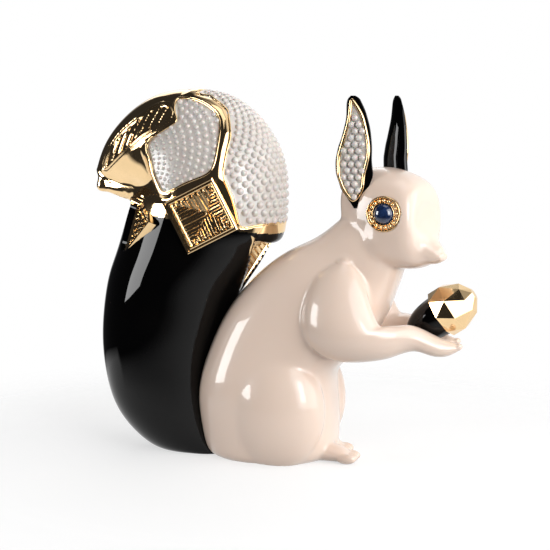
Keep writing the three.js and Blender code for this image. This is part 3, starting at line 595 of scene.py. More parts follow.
TORSO_STATIONS = sized([
    [0.09, 0, 0.61, 0, 0.4], [0.03, 0.03, 0.66, 0.04, 0.44], [0, 0.14, 0.67, 0.14, 0.48],
    [-0.01, 0.28, 0.66, 0.27, 0.5], [0.04, 0.44, 0.67, 0.37, 0.48], [0.14, 0.62, 0.76, 0.44, 0.44],
    [0.29, 0.77, 0.85, 0.52, 0.4], [0.44, 0.865, 0.92, 0.62, 0.36], [0.57, 0.92, 0.965, 0.72, 0.31],
    [0.68, 0.99, 1.0, 0.82, 0.28], [0.76, 1.05, 1.0, 0.93, 0.2]], 154, 180, 92)
HEAD_STATIONS = sized([
    [-0.35, 0.16, -0.33, 0.02, 0.06], [-0.31, 0.33, -0.28, -0.14, 0.28], [-0.22, 0.45, -0.18, -0.3, 0.42],
    [-0.07, 0.5, -0.05, -0.4, 0.49], [0.13, 0.48, 0.12, -0.44, 0.5], [0.34, 0.37, 0.26, -0.45, 0.46],
    [0.4, 0.17, 0.36, -0.43, 0.35], [0.42, -0.08, 0.43, -0.39, 0.22], [0.535, -0.29, 0.53, -0.35, 0.09]],
    94, 76, 55)

# Outer and inner edge of the arm, its travel from shoulder (0) by elbow (1) to paw (2), and its half width
ARM_SHAPE = [
    [-0.09, 0, 0, 0, 0, 0.16], [-0.22, -0.15, 0.07, -0.14, 0.2, 0.34],
    [-0.3, -0.47, 0.14, -0.38, 0.7, 0.47], [-0.26, -0.78, 0.2, -0.58, 1, 0.5],
    [-0.09, -0.97, 0.25, -0.6, 1.1, 0.46], [0.15, -0.97, 0.31, -0.6, 1.3, 0.39],
    [0.28, -0.925, 0.38, -0.6, 1.5, 0.33], [0.4, -0.87, 0.45, -0.64, 1.7, 0.28],
    [0.5, -0.91, 0.52, -0.7, 1.85, 0.27], [0.6, -0.92, 0.59, -0.75, 1.95, 0.22],
    [0.68, -0.86, 0.665, -0.79, 2, 0.1]]
ARM_REACH = {-1: 112, 1: 103}
ARM_HEIGHT, ARM_WIDTH = 72, 32
SHOULDERS_APART, ELBOWS_WIDER, PAWS_NEARER = 56, 16, 47

# Place along the foot, height and half width
FOOT_SHAPE = [
    [0, 0.3, 0.2], [0.1, 0.7, 0.4], [0.35, 1, 0.5], [0.65, 0.9, 0.5], [0.85, 0.6, 0.45], [0.92, 0.3, 0.3]]
FOOT_FRONT = {-1: 123.18, 1: 112.18}
FOOT_LENGTH, FOOT_HEIGHT, FOOT_WIDTH, FOOT_OUT = 56, 15, 19, 11
TOES, TOE_PITCH = 4, 4.75
TOE_RADII = (7.6, 3.04, 3.8)

# Middle and radii of the left haunch and cheek, the muzzle's rod, and the hole that an eye is set in
HAUNCH = (66, 29, 40), (36, 23, 45)
CHEEK = (8, 10, -15), (19, 17, 16)
MUZZLE = (22, 0, -10), (44, 0, -22), 13.0, 6.5
EYE_HOLE_RADIUS, EYE_HOLE_FLOOR = 12.9, 0.6
EYE_TOE_IN = math.radians(17)

# Widths of the soft valleys at the haunch, the cheek, the muzzle, the eye's hole and the toes, and of
# those that join the head, the arms and the feet to the torso
HAUNCH_VALLEY, CHEEK_VALLEY, MUZZLE_VALLEY, EYE_VALLEY, TOE_VALLEY = 4.0, 8.0, 7.0, 0.8, 1.6
PART_VALLEYS = (5.0, 6.0, 6.0, 4.0, 4.0)

BODY_LOW, BODY_HIGH = (-64.0, -58.0, -2.0), (148.0, 58.0, 226.0)


def arm_stations(hand):
    reach = ARM_REACH[hand]
    rows = []
    for out_x, out_z, in_x, in_z, travel, side in ARM_SHAPE:
        apart = SHOULDERS_APART + min(travel, 1) * ELBOWS_WIDER - max(travel - 1, 0) * PAWS_NEARER
        rows.append([out_x * reach, out_z * ARM_HEIGHT, in_x * reach, in_z * ARM_HEIGHT,
                     hand * apart / 2, side * ARM_WIDTH])
    return rows


def foot_stations(hand):
    heel = FOOT_FRONT[hand] - FOOT_LENGTH
    return [[heel + along * FOOT_LENGTH, height * FOOT_HEIGHT, heel + along * FOOT_LENGTH, 0,
             hand * FOOT_OUT, side * FOOT_WIDTH] for along, height, side in FOOT_SHAPE]


def eye_seat(side, hand):
    """The middle of an eye, where its cabochon stands in the frame, and the way it faces."""
    low, high = (np.array(corner) * 1000 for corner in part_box(f"eye_cabochon_{side}"))
    head = Matrix.Rotation(HEAD_TURN, 3, "Z")
    outwards = np.array(head @ Vector((math.sin(EYE_TOE_IN), hand * math.cos(EYE_TOE_IN), 0)))
    return (low + high) / 2 - outwards, outwards


def swelling(points, shape, hand):
    """Distance to a ball that stands on one side of the body."""
    (x, y, z), radii = shape
    return ball(points, [x, hand * y, z], radii)


class Body:
    """The glazed body as one soft field with six parts."""
    parts = ("torso", "head", "foreleg_right", "foreleg_left", "hind_foot_right", "hind_foot_left")

    def __init__(self):
        self.torso = Loft(TORSO_STATIONS, (6.0, 8.0), power=2.5)
        self.head = Loft(HEAD_STATIONS, (4.0, 1.5), power=2.6)
        self.eyes = [eye_seat(side, hand) for side, hand in SIDES]
        self.arms = {hand: Loft(arm_stations(hand), (3.0, 4.0)) for hand in (-1, 1)}
        self.feet = {hand: Loft(foot_stations(hand), (3.0, 3.0)) for hand in (-1, 1)}

    def foot(self, local, hand):
        """Distance to a foot and its toes."""
        foot = self.feet[hand].distance(local)
        for k in range(TOES):
            toe = [FOOT_FRONT[hand] - TOE_RADII[0], hand * FOOT_OUT + (k - (TOES - 1) / 2) * TOE_PITCH,
                   TOE_RADII[2]]
            foot = melt(foot, ball(local, toe, TOE_RADII), TOE_VALLEY)
        return foot

    def distances(self, points):
        """Distance to each of the parts."""
        local = points - TORSO
        seen = turned(points, NAPE, HEAD_TURN)
        torso = self.torso.distance(local)
        head = self.head.distance(seen)
        for hand in (-1, 1):
            torso = melt(torso, swelling(local, HAUNCH, hand), HAUNCH_VALLEY)
            head = melt(head, swelling(seen, CHEEK, hand), CHEEK_VALLEY)
        head = melt(head, rod(seen, *MUZZLE), MUZZLE_VALLEY)
        for middle, outwards in self.eyes:
            height = (points - middle) @ outwards
            radius = np.linalg.norm(points - middle - height[:, None] * outwards, axis=1)
            hole = np.maximum(radius - EYE_HOLE_RADIUS, EYE_HOLE_FLOOR - height)
            head = carve(head, hole, EYE_VALLEY)
        arms = [self.arms[hand].distance(points - SHOULDER) for hand in (-1, 1)]
        feet = [self.foot(local, hand) for hand in (-1, 1)]
        return [torso, head, *arms, *feet]

    def field(self, points):
        """The parts as one skin, each joined to the rest by a soft valley of its own width."""
        whole, *others = self.distances(points)
        for part, width in zip(others, PART_VALLEYS):
            whole = melt(whole, part, width)
        return np.maximum(whole, GROUND_GAP - points[:, 2])


def split_by(labels, points, faces, normals):
    """Divides a mesh by the label of its faces."""
    made = {}
    for label in np.unique(labels):
        chosen = faces[labels == label]
        used, local = np.unique(chosen, return_inverse=True)
        made[int(label)] = (points[used], local.reshape(chosen.shape), normals[used])
    return made


class FIGURINE_OT_body(bpy.types.Operator):
    """Makes the glazed body from one soft skin, divided where its castings are joined"""
    bl_idname = "figurine.body"
    bl_label = "Body"

    def execute(self, context):
        body = Body()
        skin = skin_of(body.field, BODY_LOW, BODY_HIGH, settings().body_grid * 1000)
        points, faces, _ = skin
        nearest = np.argmin(np.stack(body.distances(points)), 0)
        labels = np.median(nearest[faces], axis=1).astype(int)
        for label, (part_points, part_faces, part_normals) in split_by(labels, *skin).items():
            name = Body.parts[label]
            add_piece(f"{name}_glazed", part_points, part_faces, "cream_glaze", [name], part_normals)
        return {"FINISHED"}


# Tail

TAIL_LENGTH, TAIL_HEIGHT, TAIL_WIDTH = 156, 274, 94
SIDE_VIEW = np.array([TAIL_LENGTH, TAIL_HEIGHT])
STEM_STATIONS = sized([
    [-0.22, 0, 0.07, 0, 0.24], [-0.36, 0.01, 0.03, 0.04, 0.32], [-0.52, 0.095, 0, 0.14, 0.42],
    [-0.59, 0.2, 0, 0.25, 0.46], [-0.61, 0.3, 0.03, 0.34, 0.48], [-0.6, 0.4, 0.09, 0.44, 0.49],
    [-0.57, 0.49, 0.18, 0.52, 0.5], [-0.52, 0.57, 0.26, 0.58, 0.5], [-0.455, 0.685, 0.31, 0.613, 0.5]],
    TAIL_LENGTH, TAIL_HEIGHT, TAIL_WIDTH)
STEM_TOP = len(STEM_STATIONS) - 1

# The hood fans out round a notch: the turn of each station about it, its front x and z, its half width
NOTCH = np.array([-0.455, 0.7]) * SIDE_VIEW
NOTCH_RADIUS = 3
HOOD_SHAPE = (
    (8, 0.325, 0.74, 0.5), (30, 0.29, 0.84, 0.49), (52, 0.2, 0.92, 0.46), (74, 0.06, 0.98, 0.42),
    (96, -0.12, 1, 0.36), (116, -0.32, 0.985, 0.29), (134, -0.49, 0.925, 0.21), (148, -0.6, 0.85, 0.13),
    (158, -0.652, 0.78, 0.05))
HOOD_STATIONS = [
    [NOTCH[0] + NOTCH_RADIUS * math.cos(math.radians(turn)),
     NOTCH[1] + NOTCH_RADIUS * math.sin(math.radians(turn)),
     x * TAIL_LENGTH, z * TAIL_HEIGHT, 0, side * TAIL_WIDTH] for turn, x, z, side in HOOD_SHAPE]
TAIL_STATIONS = np.vstack([STEM_STATIONS, HOOD_STATIONS])
STEM_SHARED = 2     # stations of the stem that the crown's loft starts with

# Outlines in the side view, as shares of the tail's length and height

BEAD_PANEL = [
    [-0.18, 0.972], [-0.11, 0.976], [-0.03, 0.963], [0.05, 0.93], [0.074, 0.88], [0.07, 0.82],
    [0.04, 0.78], [-0.05, 0.757], [-0.14, 0.733], [-0.185, 0.727], [-0.21, 0.74], [-0.25, 0.78],
    [-0.27, 0.815], [-0.293, 0.848], [-0.25, 0.878], [-0.165, 0.908], [-0.155, 0.93]]
HOOD_EDGE = [
    [-0.1, 1.1], [-0.083, 0.989], [0.002, 0.975], [0.066, 0.951], [0.096, 0.924], [0.115, 0.888],
    [0.116, 0.854], [0.108, 0.8], [0.111, 0.773], [0.15, 0.723], [0.17, 0.67], [0.18, 0.634],
    [0.29, 0.641], [0.45, 0.641], [0.45, 1.1]]
FLUTED_PANEL = [
    [-0.585, 0.8], [-0.515, 0.855], [-0.44, 0.893], [-0.37, 0.92], [-0.3, 0.945], [-0.24, 0.957],
    [-0.195, 0.95], [-0.18, 0.925], [-0.26, 0.9], [-0.345, 0.872], [-0.42, 0.842], [-0.53, 0.8],
    [-0.585, 0.782]]
HOOD_LINE = [
    [-0.092, 0.9985], [-0.083, 0.989], [-0.04, 0.984], [0.002, 0.975], [0.066, 0.951], [0.096, 0.924],
    [0.115, 0.888], [0.116, 0.854], [0.108, 0.8], [0.113, 0.765], [0.142, 0.723], [0.165, 0.67],
    [0.182, 0.637], [0.235, 0.639], [0.29, 0.642], [0.32, 0.6425]]


class Outline:
    """A closed outline of the side view, and how far points of the side view lie outside it."""
    pitch = 0.5
    low = np.array([-130.0, 150.0])
    size = (420, 320)

    def __init__(self, corners, count=None):
        corners = np.asarray(corners, float) * SIDE_VIEW
        self.line = ring_curve(corners, count) if count else corners
        x = self.low[0] + self.pitch * np.arange(self.size[0])[:, None]
        z = self.low[1] + self.pitch * np.arange(self.size[1])[None, :]
        nearest = np.full(self.size, FAR)
        winding = np.zeros(self.size)
        for start, end in zip(self.line, np.roll(self.line, -1, 0)):
            side = end - start
            s = np.clip(((x - start[0]) * side[0] + (z - start[1]) * side[1]) / (side @ side + 1e-9), 0, 1)
            away = np.hypot(x - start[0] - s * side[0], z - start[1] - s * side[1])
            nearest = np.minimum(nearest, away)
            rising = (start[1] <= z) & (end[1] > z)
            falling = (start[1] > z) & (end[1] <= z)
            turn = side[0] * (z - start[1]) - side[1] * (x - start[0])
            winding += np.where(rising & (turn > 0), 1, 0) - np.where(falling & (turn < 0), 1, 0)
        self.chart = np.where(winding != 0, -nearest, nearest)

    def away(self, x, z):
        return read_chart(self.chart, self.low, self.pitch, x, z)


def ramp(value, low, high):
    """Rises softly from 0 to 1 as the value goes from low to high."""
    s = np.clip((value - low) / (high - low), 0, 1)
    return s * s * (3 - 2 * s)


# Corners of the plaques, counter-clockwise
PLAQUE_SQUARE = [[0, -29.7], [29.7, 0], [0, 29.7], [-29.7, 0]]
PLAQUE_KITE = [[0, -38], [27, 0], [0, 15], [-27, 0]]
PLAQUE_TRIANGLE = [[0, -52], [30, 0], [-30, 0]]

# How each plaque sits: its corners, its place as shares of the tail's length, width and height, its
# bearing, lean and twist in degrees, and how far its recess sits off its middle
PLAQUE_SEATS = {
    "plaque_right": (PLAQUE_SQUARE, (0.004, -0.49, 0.667), (8, 0, 18), (4, 4)),
    "plaque_left": (PLAQUE_SQUARE, (0.004, 0.49, 0.667), (172, 0, -18), (-4, 4)),
    "plaque_rear_right": (PLAQUE_KITE, (-0.328, -0.278, 0.664), (-52, 23, 12), (0, 0)),
    "plaque_rear_left": (PLAQUE_KITE, (-0.328, 0.278, 0.664), (232, 23, -12), (0, 0)),
    "plaque_front": (PLAQUE_TRIANGLE, (0.222, 0, 0.612), (90, -27, 0), (0, 0)),
}
PLAQUE_OUT = 2.5
RIM_WIDTH = 2.5
RECESS_BACK, RECESS_REACH = 8.5, 20


def plaque_frame(share, turn):
    """The axes of a plaque and the middle of its outer face, in the tail's frame."""
    bearing, lean, twist = (math.radians(angle) for angle in turn)
    axes = np.array(Matrix.Rotation(bearing, 3, "Z") @ Matrix.Rotation(-lean, 3, "X")
                    @ Matrix.Rotation(twist, 3, "Y"))
    return axes, share * np.array([TAIL_LENGTH, TAIL_WIDTH, TAIL_HEIGHT]) + axes @ [0, -PLAQUE_OUT, 0]


def inward_normals(ring):
    """Unit normals of a counter-clockwise outline's sides, pointing into it."""
    side = np.roll(ring, -1, 0) - ring
    return np.stack([-side[:, 1], side[:, 0]], 1) / np.linalg.norm(side, axis=1)[:, None]


def let_in(points):
    """Presses a skin of the tail in under the recess of each plaque."""
    points = points.copy()
    for corners, share, turn, _ in PLAQUE_SEATS.values():
        axes, place = plaque_frame(share, turn)
        local = (points - TAIL - place) @ axes
        ring = np.array(corners, float)
        inside = np.full(len(points), FAR)
        for start, inwards in zip(ring, inward_normals(ring)):
            inside = np.minimum(inside, (local[:, [0, 2]] - start) @ inwards)
        under = (inside > RIM_WIDTH) & (local[:, 1] > -RECESS_REACH) & (local[:, 1] < RECESS_BACK)
        local[under, 1] = RECESS_BACK
        points[under] = local[under] @ axes.T + TAIL + place
    return points


# The tail's tip: the point and the fall of the edge that it is hollowed under, and its rods
TIP_EDGE, TIP_FALL = (-91.3, 214.3), (0.527, -0.85)
TIP_UNDERSIDE = (-60, 0, 199), (-97.6, 0, 200.5), 13.5, 3.2
TIP_CORNER = (-97.6, 0, 200.5), (-97.8, 0, 210), 3.2, 3.0
FLUTE_LEAN = math.radians(67)
FLUTE_WIDTH, FLUTE_RISE, FLUTE_BED = 6.0, 1.8, 1.4
FLUTE_RIMS = ((0.3, 0.9), (2.6, 0.7))
BAND_RISE = 1.3
CROWN_LOW, CROWN_HIGH = (-112.0, -54.0, 158.0), (60.0, 54.0, 280.0)
WIDEST = 62.0
LINE_WIDTH, LINE_HEIGHT = 0.9, 1.1


class Crown:
    """The upper tail: a fan-shaped hood with raised gilt bands, beaded beds and a fluted tip."""

    def __init__(self):
        self.loft = Loft(TAIL_STATIONS[STEM_TOP - STEM_SHARED:], (6.0, 5.0), margin=30.0)
        self.panel = Outline(BEAD_PANEL, 120)
        self.hood = Outline(HOOD_EDGE)
        self.flutes = Outline(FLUTED_PANEL, 100)

    def relief(self, x, z):
        """How far the skin stands out from the plain loft."""
        panel = self.panel.away(x, z)
        hood = self.hood.away(x, z)
        flutes = self.flutes.away(x, z)
        near = np.minimum(panel, hood)
        height = 0.4 * ramp(near, -0.5, 0.7) - 0.9 * (1 - ramp(near, -0.8, 0.4))
        between = np.clip((panel - hood) / np.maximum(panel + hood, 0.1), -1, 1)
        band = (1 - ramp(panel + hood, 11, 17)) * ramp(near, 0, 1.0)
        height += BAND_RISE * band * (1 - between**2)
        across = (x * math.sin(FLUTE_LEAN) - z * math.cos(FLUTE_LEAN)) / FLUTE_WIDTH
        flute = np.sqrt(np.clip(1 - (2 * (across % 1) - 1)**2, 0.0, 1)) * FLUTE_RISE - FLUTE_BED
        inside = 1 - ramp(flutes, -1.6, -0.4)
        height = height * (1 - inside) + inside * flute
        for at, rise in FLUTE_RIMS:
            height += rise * np.exp(-((flutes - at) / 0.75)**2)
        below = TIP_FALL[0] * (x - TIP_EDGE[0]) + TIP_FALL[1] * (z - TIP_EDGE[1])
        hollow = 0.35 * np.clip(below - 4, 0, 26) * ramp(panel, 1.5, 8)
        return height - hollow * ramp(-20 - x, 0, 8) * ramp(z, 190, 204)

    def field(self, points):
        local = points - TAIL
        hood = self.loft.distance(local) - self.relief(local[:, 0], local[:, 2])
        return melt(melt(hood, rod(local, *TIP_CORNER), 4.0), rod(local, *TIP_UNDERSIDE), 8.0)

    def on_skin(self, line, hand):
        """Points of the skin, and their normals, where a line of the side view lies on one side."""
        near, far = np.zeros(len(line)), np.full(len(line), WIDEST)
        for _ in range(26):
            middle = (near + far) / 2
            points = np.stack([line[:, 0], hand * middle, line[:, 1]], 1) + TAIL
            inside = self.field(points) < 0
            near, far = np.where(inside, middle, near), np.where(inside, far, middle)
        points = np.stack([line[:, 0], hand * near, line[:, 1]], 1) + TAIL
        return self.settle(points, 1)

    def settle(self, points, rounds=4):
        """Moves points onto the skin and gives its normals there."""
        for _ in range(rounds):
            grade = slope(self.field, points, 0.6)
            steep = np.maximum((grade**2).sum(1), LEAST_STEEP)
            points = points - (self.field(points) / steep)[:, None] * grade
        grade = slope(self.field, points, 0.8)
        return points, grade / np.linalg.norm(grade, axis=1)[:, None]

    def lattice(self, outline, beads_round, rows, margin, hand=0):
        """Places and normals of staggered rows of beads inside an outline, and the room that each has."""
        count = len(HOOD_STATIONS) * rows
        row, place = np.meshgrid(np.arange(count), np.arange(beads_round), indexing="ij")
        row, place = row.ravel(), place.ravel()
        angles = math.pi * (2 * place + row % 2) / beads_round
        points, normals = self.settle(self.loft.point(STEM_SHARED + row / rows, angles) + TAIL)
        local = points - TAIL
        keep = outline.away(local[:, 0], local[:, 2]) < -margin
        if hand:
            keep &= hand * local[:, 1] > 0
        points, normals = points[keep], normals[keep]
        apart = np.linalg.norm(points[:, None] - points[None], axis=2) + np.eye(len(points)) * 99
        return points, normals, apart.min(1)

    def hood_loop(self):
        """The edge of the hood: down the right side, under the front and up the left side."""
        line = spline(HOOD_LINE, np.linspace(0, len(HOOD_LINE) - 1, 90)) * SIDE_VIEW
        right, right_normals = self.on_skin(line, -1)
        left, left_normals = self.on_skin(line, 1)
        points = np.vstack([right, left[::-1][1:-1]])
        return points, np.vstack([right_normals, left_normals[::-1][1:-1]])

    def labels(self, local):
        """Which of the crown's skins each place of its surface belongs to, or -1 under the crown."""
        x, y, z = local.T
        in_panel = self.panel.away(x, z) < 0
        in_flutes = self.flutes.away(x, z) < 0.2
        back_x, back_z, front_x, front_z = TAIL_STATIONS[STEM_TOP][:4]
        above = (front_x - back_x) * (z - back_z) - (front_z - back_z) * (x - back_x)
        labels = np.zeros(len(local), int)
        labels[self.hood.away(x, z) < 0] = 1
        for first, inside in ((2, in_panel), (4, in_flutes)):
            labels[inside & (y < 0)] = first
            labels[inside & (y > 0)] = first + 1
        labels[above < 0] = -1
        return labels


CROWN_SKINS = (("tail_crown", "gold_lustre"), ("bead_hood", "pearl_glaze"),
               ("bead_panel_right", "pearl_glaze"), ("bead_panel_left", "pearl_glaze"),
               ("fluted_panel_right", "gold_lustre"), ("fluted_panel_left", "gold_lustre"))


class FIGURINE_OT_tail(bpy.types.Operator):
    """Makes the black lower tail and the gilt upper tail"""
    bl_idname = "figurine.tail"
    bl_label = "Tail"

    def execute(self, context):
        stem = Loft(TAIL_STATIONS, (6.0, 5.0))
        points, faces = stem.skin(150, 128, STEM_TOP + 0.1)
        points[:, 2] = np.maximum(points[:, 2], GROUND_GAP)
        add_piece("tail_stem_glazed", let_in(points + TAIL), faces, "black_glaze", ["tail_stem"])
        crown = Crown()
        skin = skin_of(crown.field, TAIL + CROWN_LOW, TAIL + CROWN_HIGH, settings().crown_grid * 1000,
                       fine=0.35)
        points, faces, _ = skin
        labels = crown.labels(points[faces].mean(1) - TAIL)
        for label, (part_points, part_faces, part_normals) in split_by(labels, *skin).items():
            if label < 0:
                continue
            name, slot = CROWN_SKINS[label]
            add_piece(f"{name}_skin", let_in(part_points), part_faces, slot, [name], part_normals)
        return {"FINISHED"}


# Beads of a bed: rows between two stations, margin at its edge, radius as a share of the room that a bead
# has, least and most radius, how deep it is sunk, and its height as a share of its width
HOOD_BEDDING = 6, 1.4, 0.5, 1.2, 3.1, 0.3, 0.95
PANEL_BEDDING = 4, 1.2, 0.4, 0.8, 2.4, 0.1, 1.0


def bedded(crown, outline, beads_round, bedding, hand=0):
    """The beads that fill an outline, on one side or, with no hand, on both."""
    rows, margin, share, least, most, sink, squash = bedding
    places, normals, room = crown.lattice(outline, beads_round, rows, margin, hand)
    radii = np.clip(room * share, least, most)
    return beads_mesh(places - normals * radii[:, None] * sink, normals, radii, squash)


class FIGURINE_OT_beads(bpy.types.Operator):
    """Sets the pearl beads on the hood and on the side panels"""
    bl_idname = "figurine.beads"
    bl_label = "Tail beads"

    def execute(self, context):
        crown = Crown()
        beads = bedded(crown, crown.hood, settings().hood_beads, HOOD_BEDDING)
        add_piece("bead_hood_beads", *beads, "pearl_glaze", ["bead_hood"])
        for side, hand in SIDES:
            beads = bedded(crown, crown.panel, settings().panel_beads, PANEL_BEDDING, hand)
            add_piece(f"bead_panel_{side}_beads", *beads, "pearl_glaze", [f"bead_panel_{side}"])
        return {"FINISHED"}


class FIGURINE_OT_rims(bpy.types.Operator):
    """Lays the raised gilt lines round the panels and the hood"""
    bl_idname = "figurine.rims"
    bl_label = "Tail rims"

    def execute(self, context):
        crown = Crown()
        lines = [crown.on_skin(crown.panel.line, hand) for hand in (-1, 1)] + [crown.hood_loop()]
        rims = gather([tube(*line, LINE_WIDTH, LINE_HEIGHT) for line in lines])
        add_piece("tail_crown_rims", *rims, "gold_lustre", ["tail_crown"])
        return {"FINISHED"}


# Collar plaques: how far in from the edge and how deep each turn of the rim lies, then the ribbed bed

PLAQUE_RIM = [
    (0.0, 6.0), (0.0, 0.9), (0.3, 0.25), (0.9, 0.0), (1.5, 0.25), (1.8, 0.9), (2.2, 1.0), (2.5, 0.75),
    (3.1, 0.45), (3.7, 0.75), (4.0, 1.5), (4.4, 2.2)]
BED_START, BED_EDGE, BED_FALL = 4.6, 2.4, 5.0
RIB_RISE, RIB_PITCH = 1.5, 4.6


def bed_level(s, f, where, room):
    """Depth of the ribbed bed: s runs from its edge inwards, f along its side, room is what is left."""
    rib = min(max(0.5 + math.cos(2 * math.pi * where / RIB_PITCH) * 2.2, 0), 1)
    edge = min(1.0, (1 - abs(2 * f - 1)) * room / 0.8)
    return BED_EDGE + BED_FALL * s - RIB_RISE * rib * edge * min(1, s * 10) * (1 - 0.3 * s)


def plaque_mesh(corners, off_middle, along_count=96, inset_count=44):
    """A plaque in its own frame, outer face towards -Y: rims round a ribbed recess, open at the back."""
    corners = np.asarray(corners, float)
    inwards = inward_normals(corners)
    equations = np.column_stack([inwards, -np.ones(len(corners))])
    *centre, inner = np.linalg.lstsq(equations, (inwards * corners).sum(1), rcond=None)[0]
    centre = np.array(centre) + off_middle
    rows = PLAQUE_RIM + [(inset, None) for inset in np.linspace(BED_START, inner - 0.05, inset_count)]
    points, faces = [], []
    for a, b in zip(corners, np.roll(corners, -1, 0)):
        along = (b - a) / np.linalg.norm(b - a)
        start = len(points)
        for inset, level in rows:
            low, high = a + (centre - a) * (inset / inner), b + (centre - b) * (inset / inner)
            for f in np.linspace(0, 1, along_count):
                place = low + (high - low) * f
                depth = level
                if level is None:
                    depth = bed_level((inset - BED_START) / (inner - BED_START), f,
                                      (place - (a + b) / 2) @ along, inner - inset)
                points.append([place[0], depth, place[1]])
        for r in range(len(rows) - 1):
            for j in range(along_count - 1):
                i = start + r * along_count + j
                faces.append([i, i + along_count, i + along_count + 1, i + 1])
    return np.array(points), faces


class FIGURINE_OT_plaques(bpy.types.Operator):
    """Makes the recessed ribbed plaques of the collar"""
    bl_idname = "figurine.plaques"
    bl_label = "Plaques"

    def execute(self, context):
        for name, (corners, share, turn, off_middle) in PLAQUE_SEATS.items():
            axes, place = plaque_frame(share, turn)
            points, faces = plaque_mesh(corners, off_middle)
            piece = add_piece(f"{name}_gilt", points @ axes.T + TAIL + place, faces, "gold_lustre", [name])
            piece.data.set_sharp_from_angle(angle=math.radians(40))
        return {"FINISHED"}


# Ears

# Height, left edge and right edge of the ear and of its beaded opening
EAR_EDGES = [
    (-1.5, -1.1, 1.1), (1, -2.6, 1.9), (4.6, -5.2, 3.3), (8.2, -7.8, 4.8), (11.8, -10.4, 8.6),
    (15.4, -11.7, 10.4), (21.2, -13.7, 12.6), (26.2, -14.6, 12.6), (32, -14.7, 11.9), (37, -13.9, 11.9),
    (42.8, -12.6, 11.9), (47.8, -10.8, 11.5), (55, -8.8, 10.6), (62.2, -7.2, 8.8), (68.7, -6.9, 6.7),
    (73.7, -6.7, 4.3), (76.6, -5.6, 2.6), (78.6, -3.7, -0.5)]
EAR_OPENING = np.array([
    (5.3, -3.0, 0.8), (11.8, -7.8, 4.8), (17.6, -10.4, 5.9), (22.6, -11.9, 6.4), (29, -12.2, 7.9),
    (35.6, -11.9, 9.3), (44.9, -9.3, 9.3), (57.9, -5.6, 6.7), (66.5, -4.1, 3.7), (74.4, -3.3, -1.4)])
EAR_FOOT = (-6.58, 27.5, 11.02)
EAR_TURN = math.radians(22)
EAR_BEAD_RADIUS, EAR_BEAD_PITCH, EAR_ROW_PITCH = 2.55, 5.4, 4.7


def ear_depth(height):
    return np.interp(height, [-2, 8, 20, 34, 50, 65, 79], [2.5, 6, 8, 8, 6.5, 4.2, 1.2])


def ear_shell(rows=70, sides=40):
    """The black shell: nearly flat in front, full behind."""
    points = []
    for height, left, right in spline(EAR_EDGES, np.linspace(0, len(EAR_EDGES) - 1, rows)):
        middle, half = (left + right) / 2, (right - left) / 2
        for angle in np.arange(sides) * 2 * np.pi / sides:
            back = math.sin(angle)
            reach = ear_depth(height) if back > 0 else 0.9
            points.append([middle + half * math.cos(angle), reach * back, height])
    return np.array(points), band_faces(rows, sides) + end_faces(rows, sides)


def ear_outline(count=120):
    """The outline of the opening, as points of x and height."""
    left, right = EAR_OPENING[:, [1, 0]], EAR_OPENING[::-1, [2, 0]]
    return ring_curve(np.vstack([left, right]), count)


def facing_front(flat, y):
    """Points of x and height set at one depth, and the normals that face the front there."""
    points = np.stack([flat[:, 0], np.full(len(flat), y), flat[:, 1]], 1)
    return points, np.tile([0, -1.0, 0], (len(flat), 1))


def ear_rim():
    return tube(*facing_front(ear_outline(), -1.3), 1.25, 1.3)


def ear_bed(shares=(1.0, 0.8, 0.6, 0.4, 0.2)):
    """A flat bed that fills the opening."""
    outline = ear_outline()
    count = len(outline)
    centre = outline.mean(0)
    rings = [centre + (outline - centre) * share for share in shares]
    points, _ = facing_front(np.vstack([*rings, centre]), -0.95)
    last = (len(shares) - 1) * count
    faces = [[face[0], *face[:0:-1]] for face in band_faces(len(shares), count)]
    faces += [[last + i, last + count, last + (i + 1) % count] for i in range(count)]
    return points, faces


def ear_beads():
    """Staggered rows of beads that fill the bed."""
    heights, lefts, rights = EAR_OPENING.T
    flat = []
    for row, height in enumerate(np.arange(6.5, 76, EAR_ROW_PITCH)):
        left, right = np.interp(height, heights, lefts), np.interp(height, heights, rights)
        for x in np.arange(-16.5 + (row % 2) * EAR_BEAD_PITCH / 2, 14, EAR_BEAD_PITCH):
            if left + 1.6 < x < right - 1.6:
                flat.append([x, height])
    places, normals = facing_front(np.array(flat), -1.2)
    return beads_mesh(places, normals, np.full(len(flat), EAR_BEAD_RADIUS))


class FIGURINE_OT_ears(bpy.types.Operator):
    """Makes the ears: black shells, gilt rims and beaded insides"""
    bl_idname = "figurine.ears"
    bl_label = "Ears"

    def execute(self, context):
        head = Matrix.Rotation(HEAD_TURN, 3, "Z")
        shapes = (("{}_glazed", ear_shell(), "black_glaze", "ear_{}"),
                  ("{}_rim", ear_rim(), "gold_lustre", "ear_rim_{}"),
                  ("{}_beads", gather([ear_bed(), ear_beads()]), "pearl_glaze", "ear_beads_{}"))
        for side, hand in SIDES:
            axes = np.array(head @ Matrix.Rotation(-hand * EAR_TURN, 3, "Z"))
            x, y, z = EAR_FOOT
            origin = NAPE + np.array(head @ Vector((x, hand * y, z)))
            for ending, (points, faces), slot, stands_for in shapes:
                if hand > 0:
                    faces = [face[::-1] for face in faces]
                name = "ear_" + ending.format(side)
                add_piece(name, (points * [1, -hand, 1]) @ axes.T + origin, faces, slot,
                          [stands_for.format(side)])
        return {"FINISHED"}


# Eyes

EYE_RING = [
    (7.2, -3), (12.8, -3), (12.8, 1.4), (12.6, 2.2), (12.1, 2.6), (11.5, 2.2), (11.2, 1.2), (11.0, 0.3),
    (8.5, 0.3), (8.3, 1.6), (8.0, 2.2), (7.7, 2.2), (7.5, 1.5), (7.4, 0.5), (7.2, -2.9)]
EYE_BEADS, EYE_BEAD_RADIUS, EYE_BEAD_CIRCLE, EYE_BEAD_HEIGHT = 17, 1.45, 9.65, 1.1
CABOCHON_RADIUS, CABOCHON_RISE, CABOCHON_EDGE = 7.4, 5.0, 0.6
TURNED_SIDES = 72


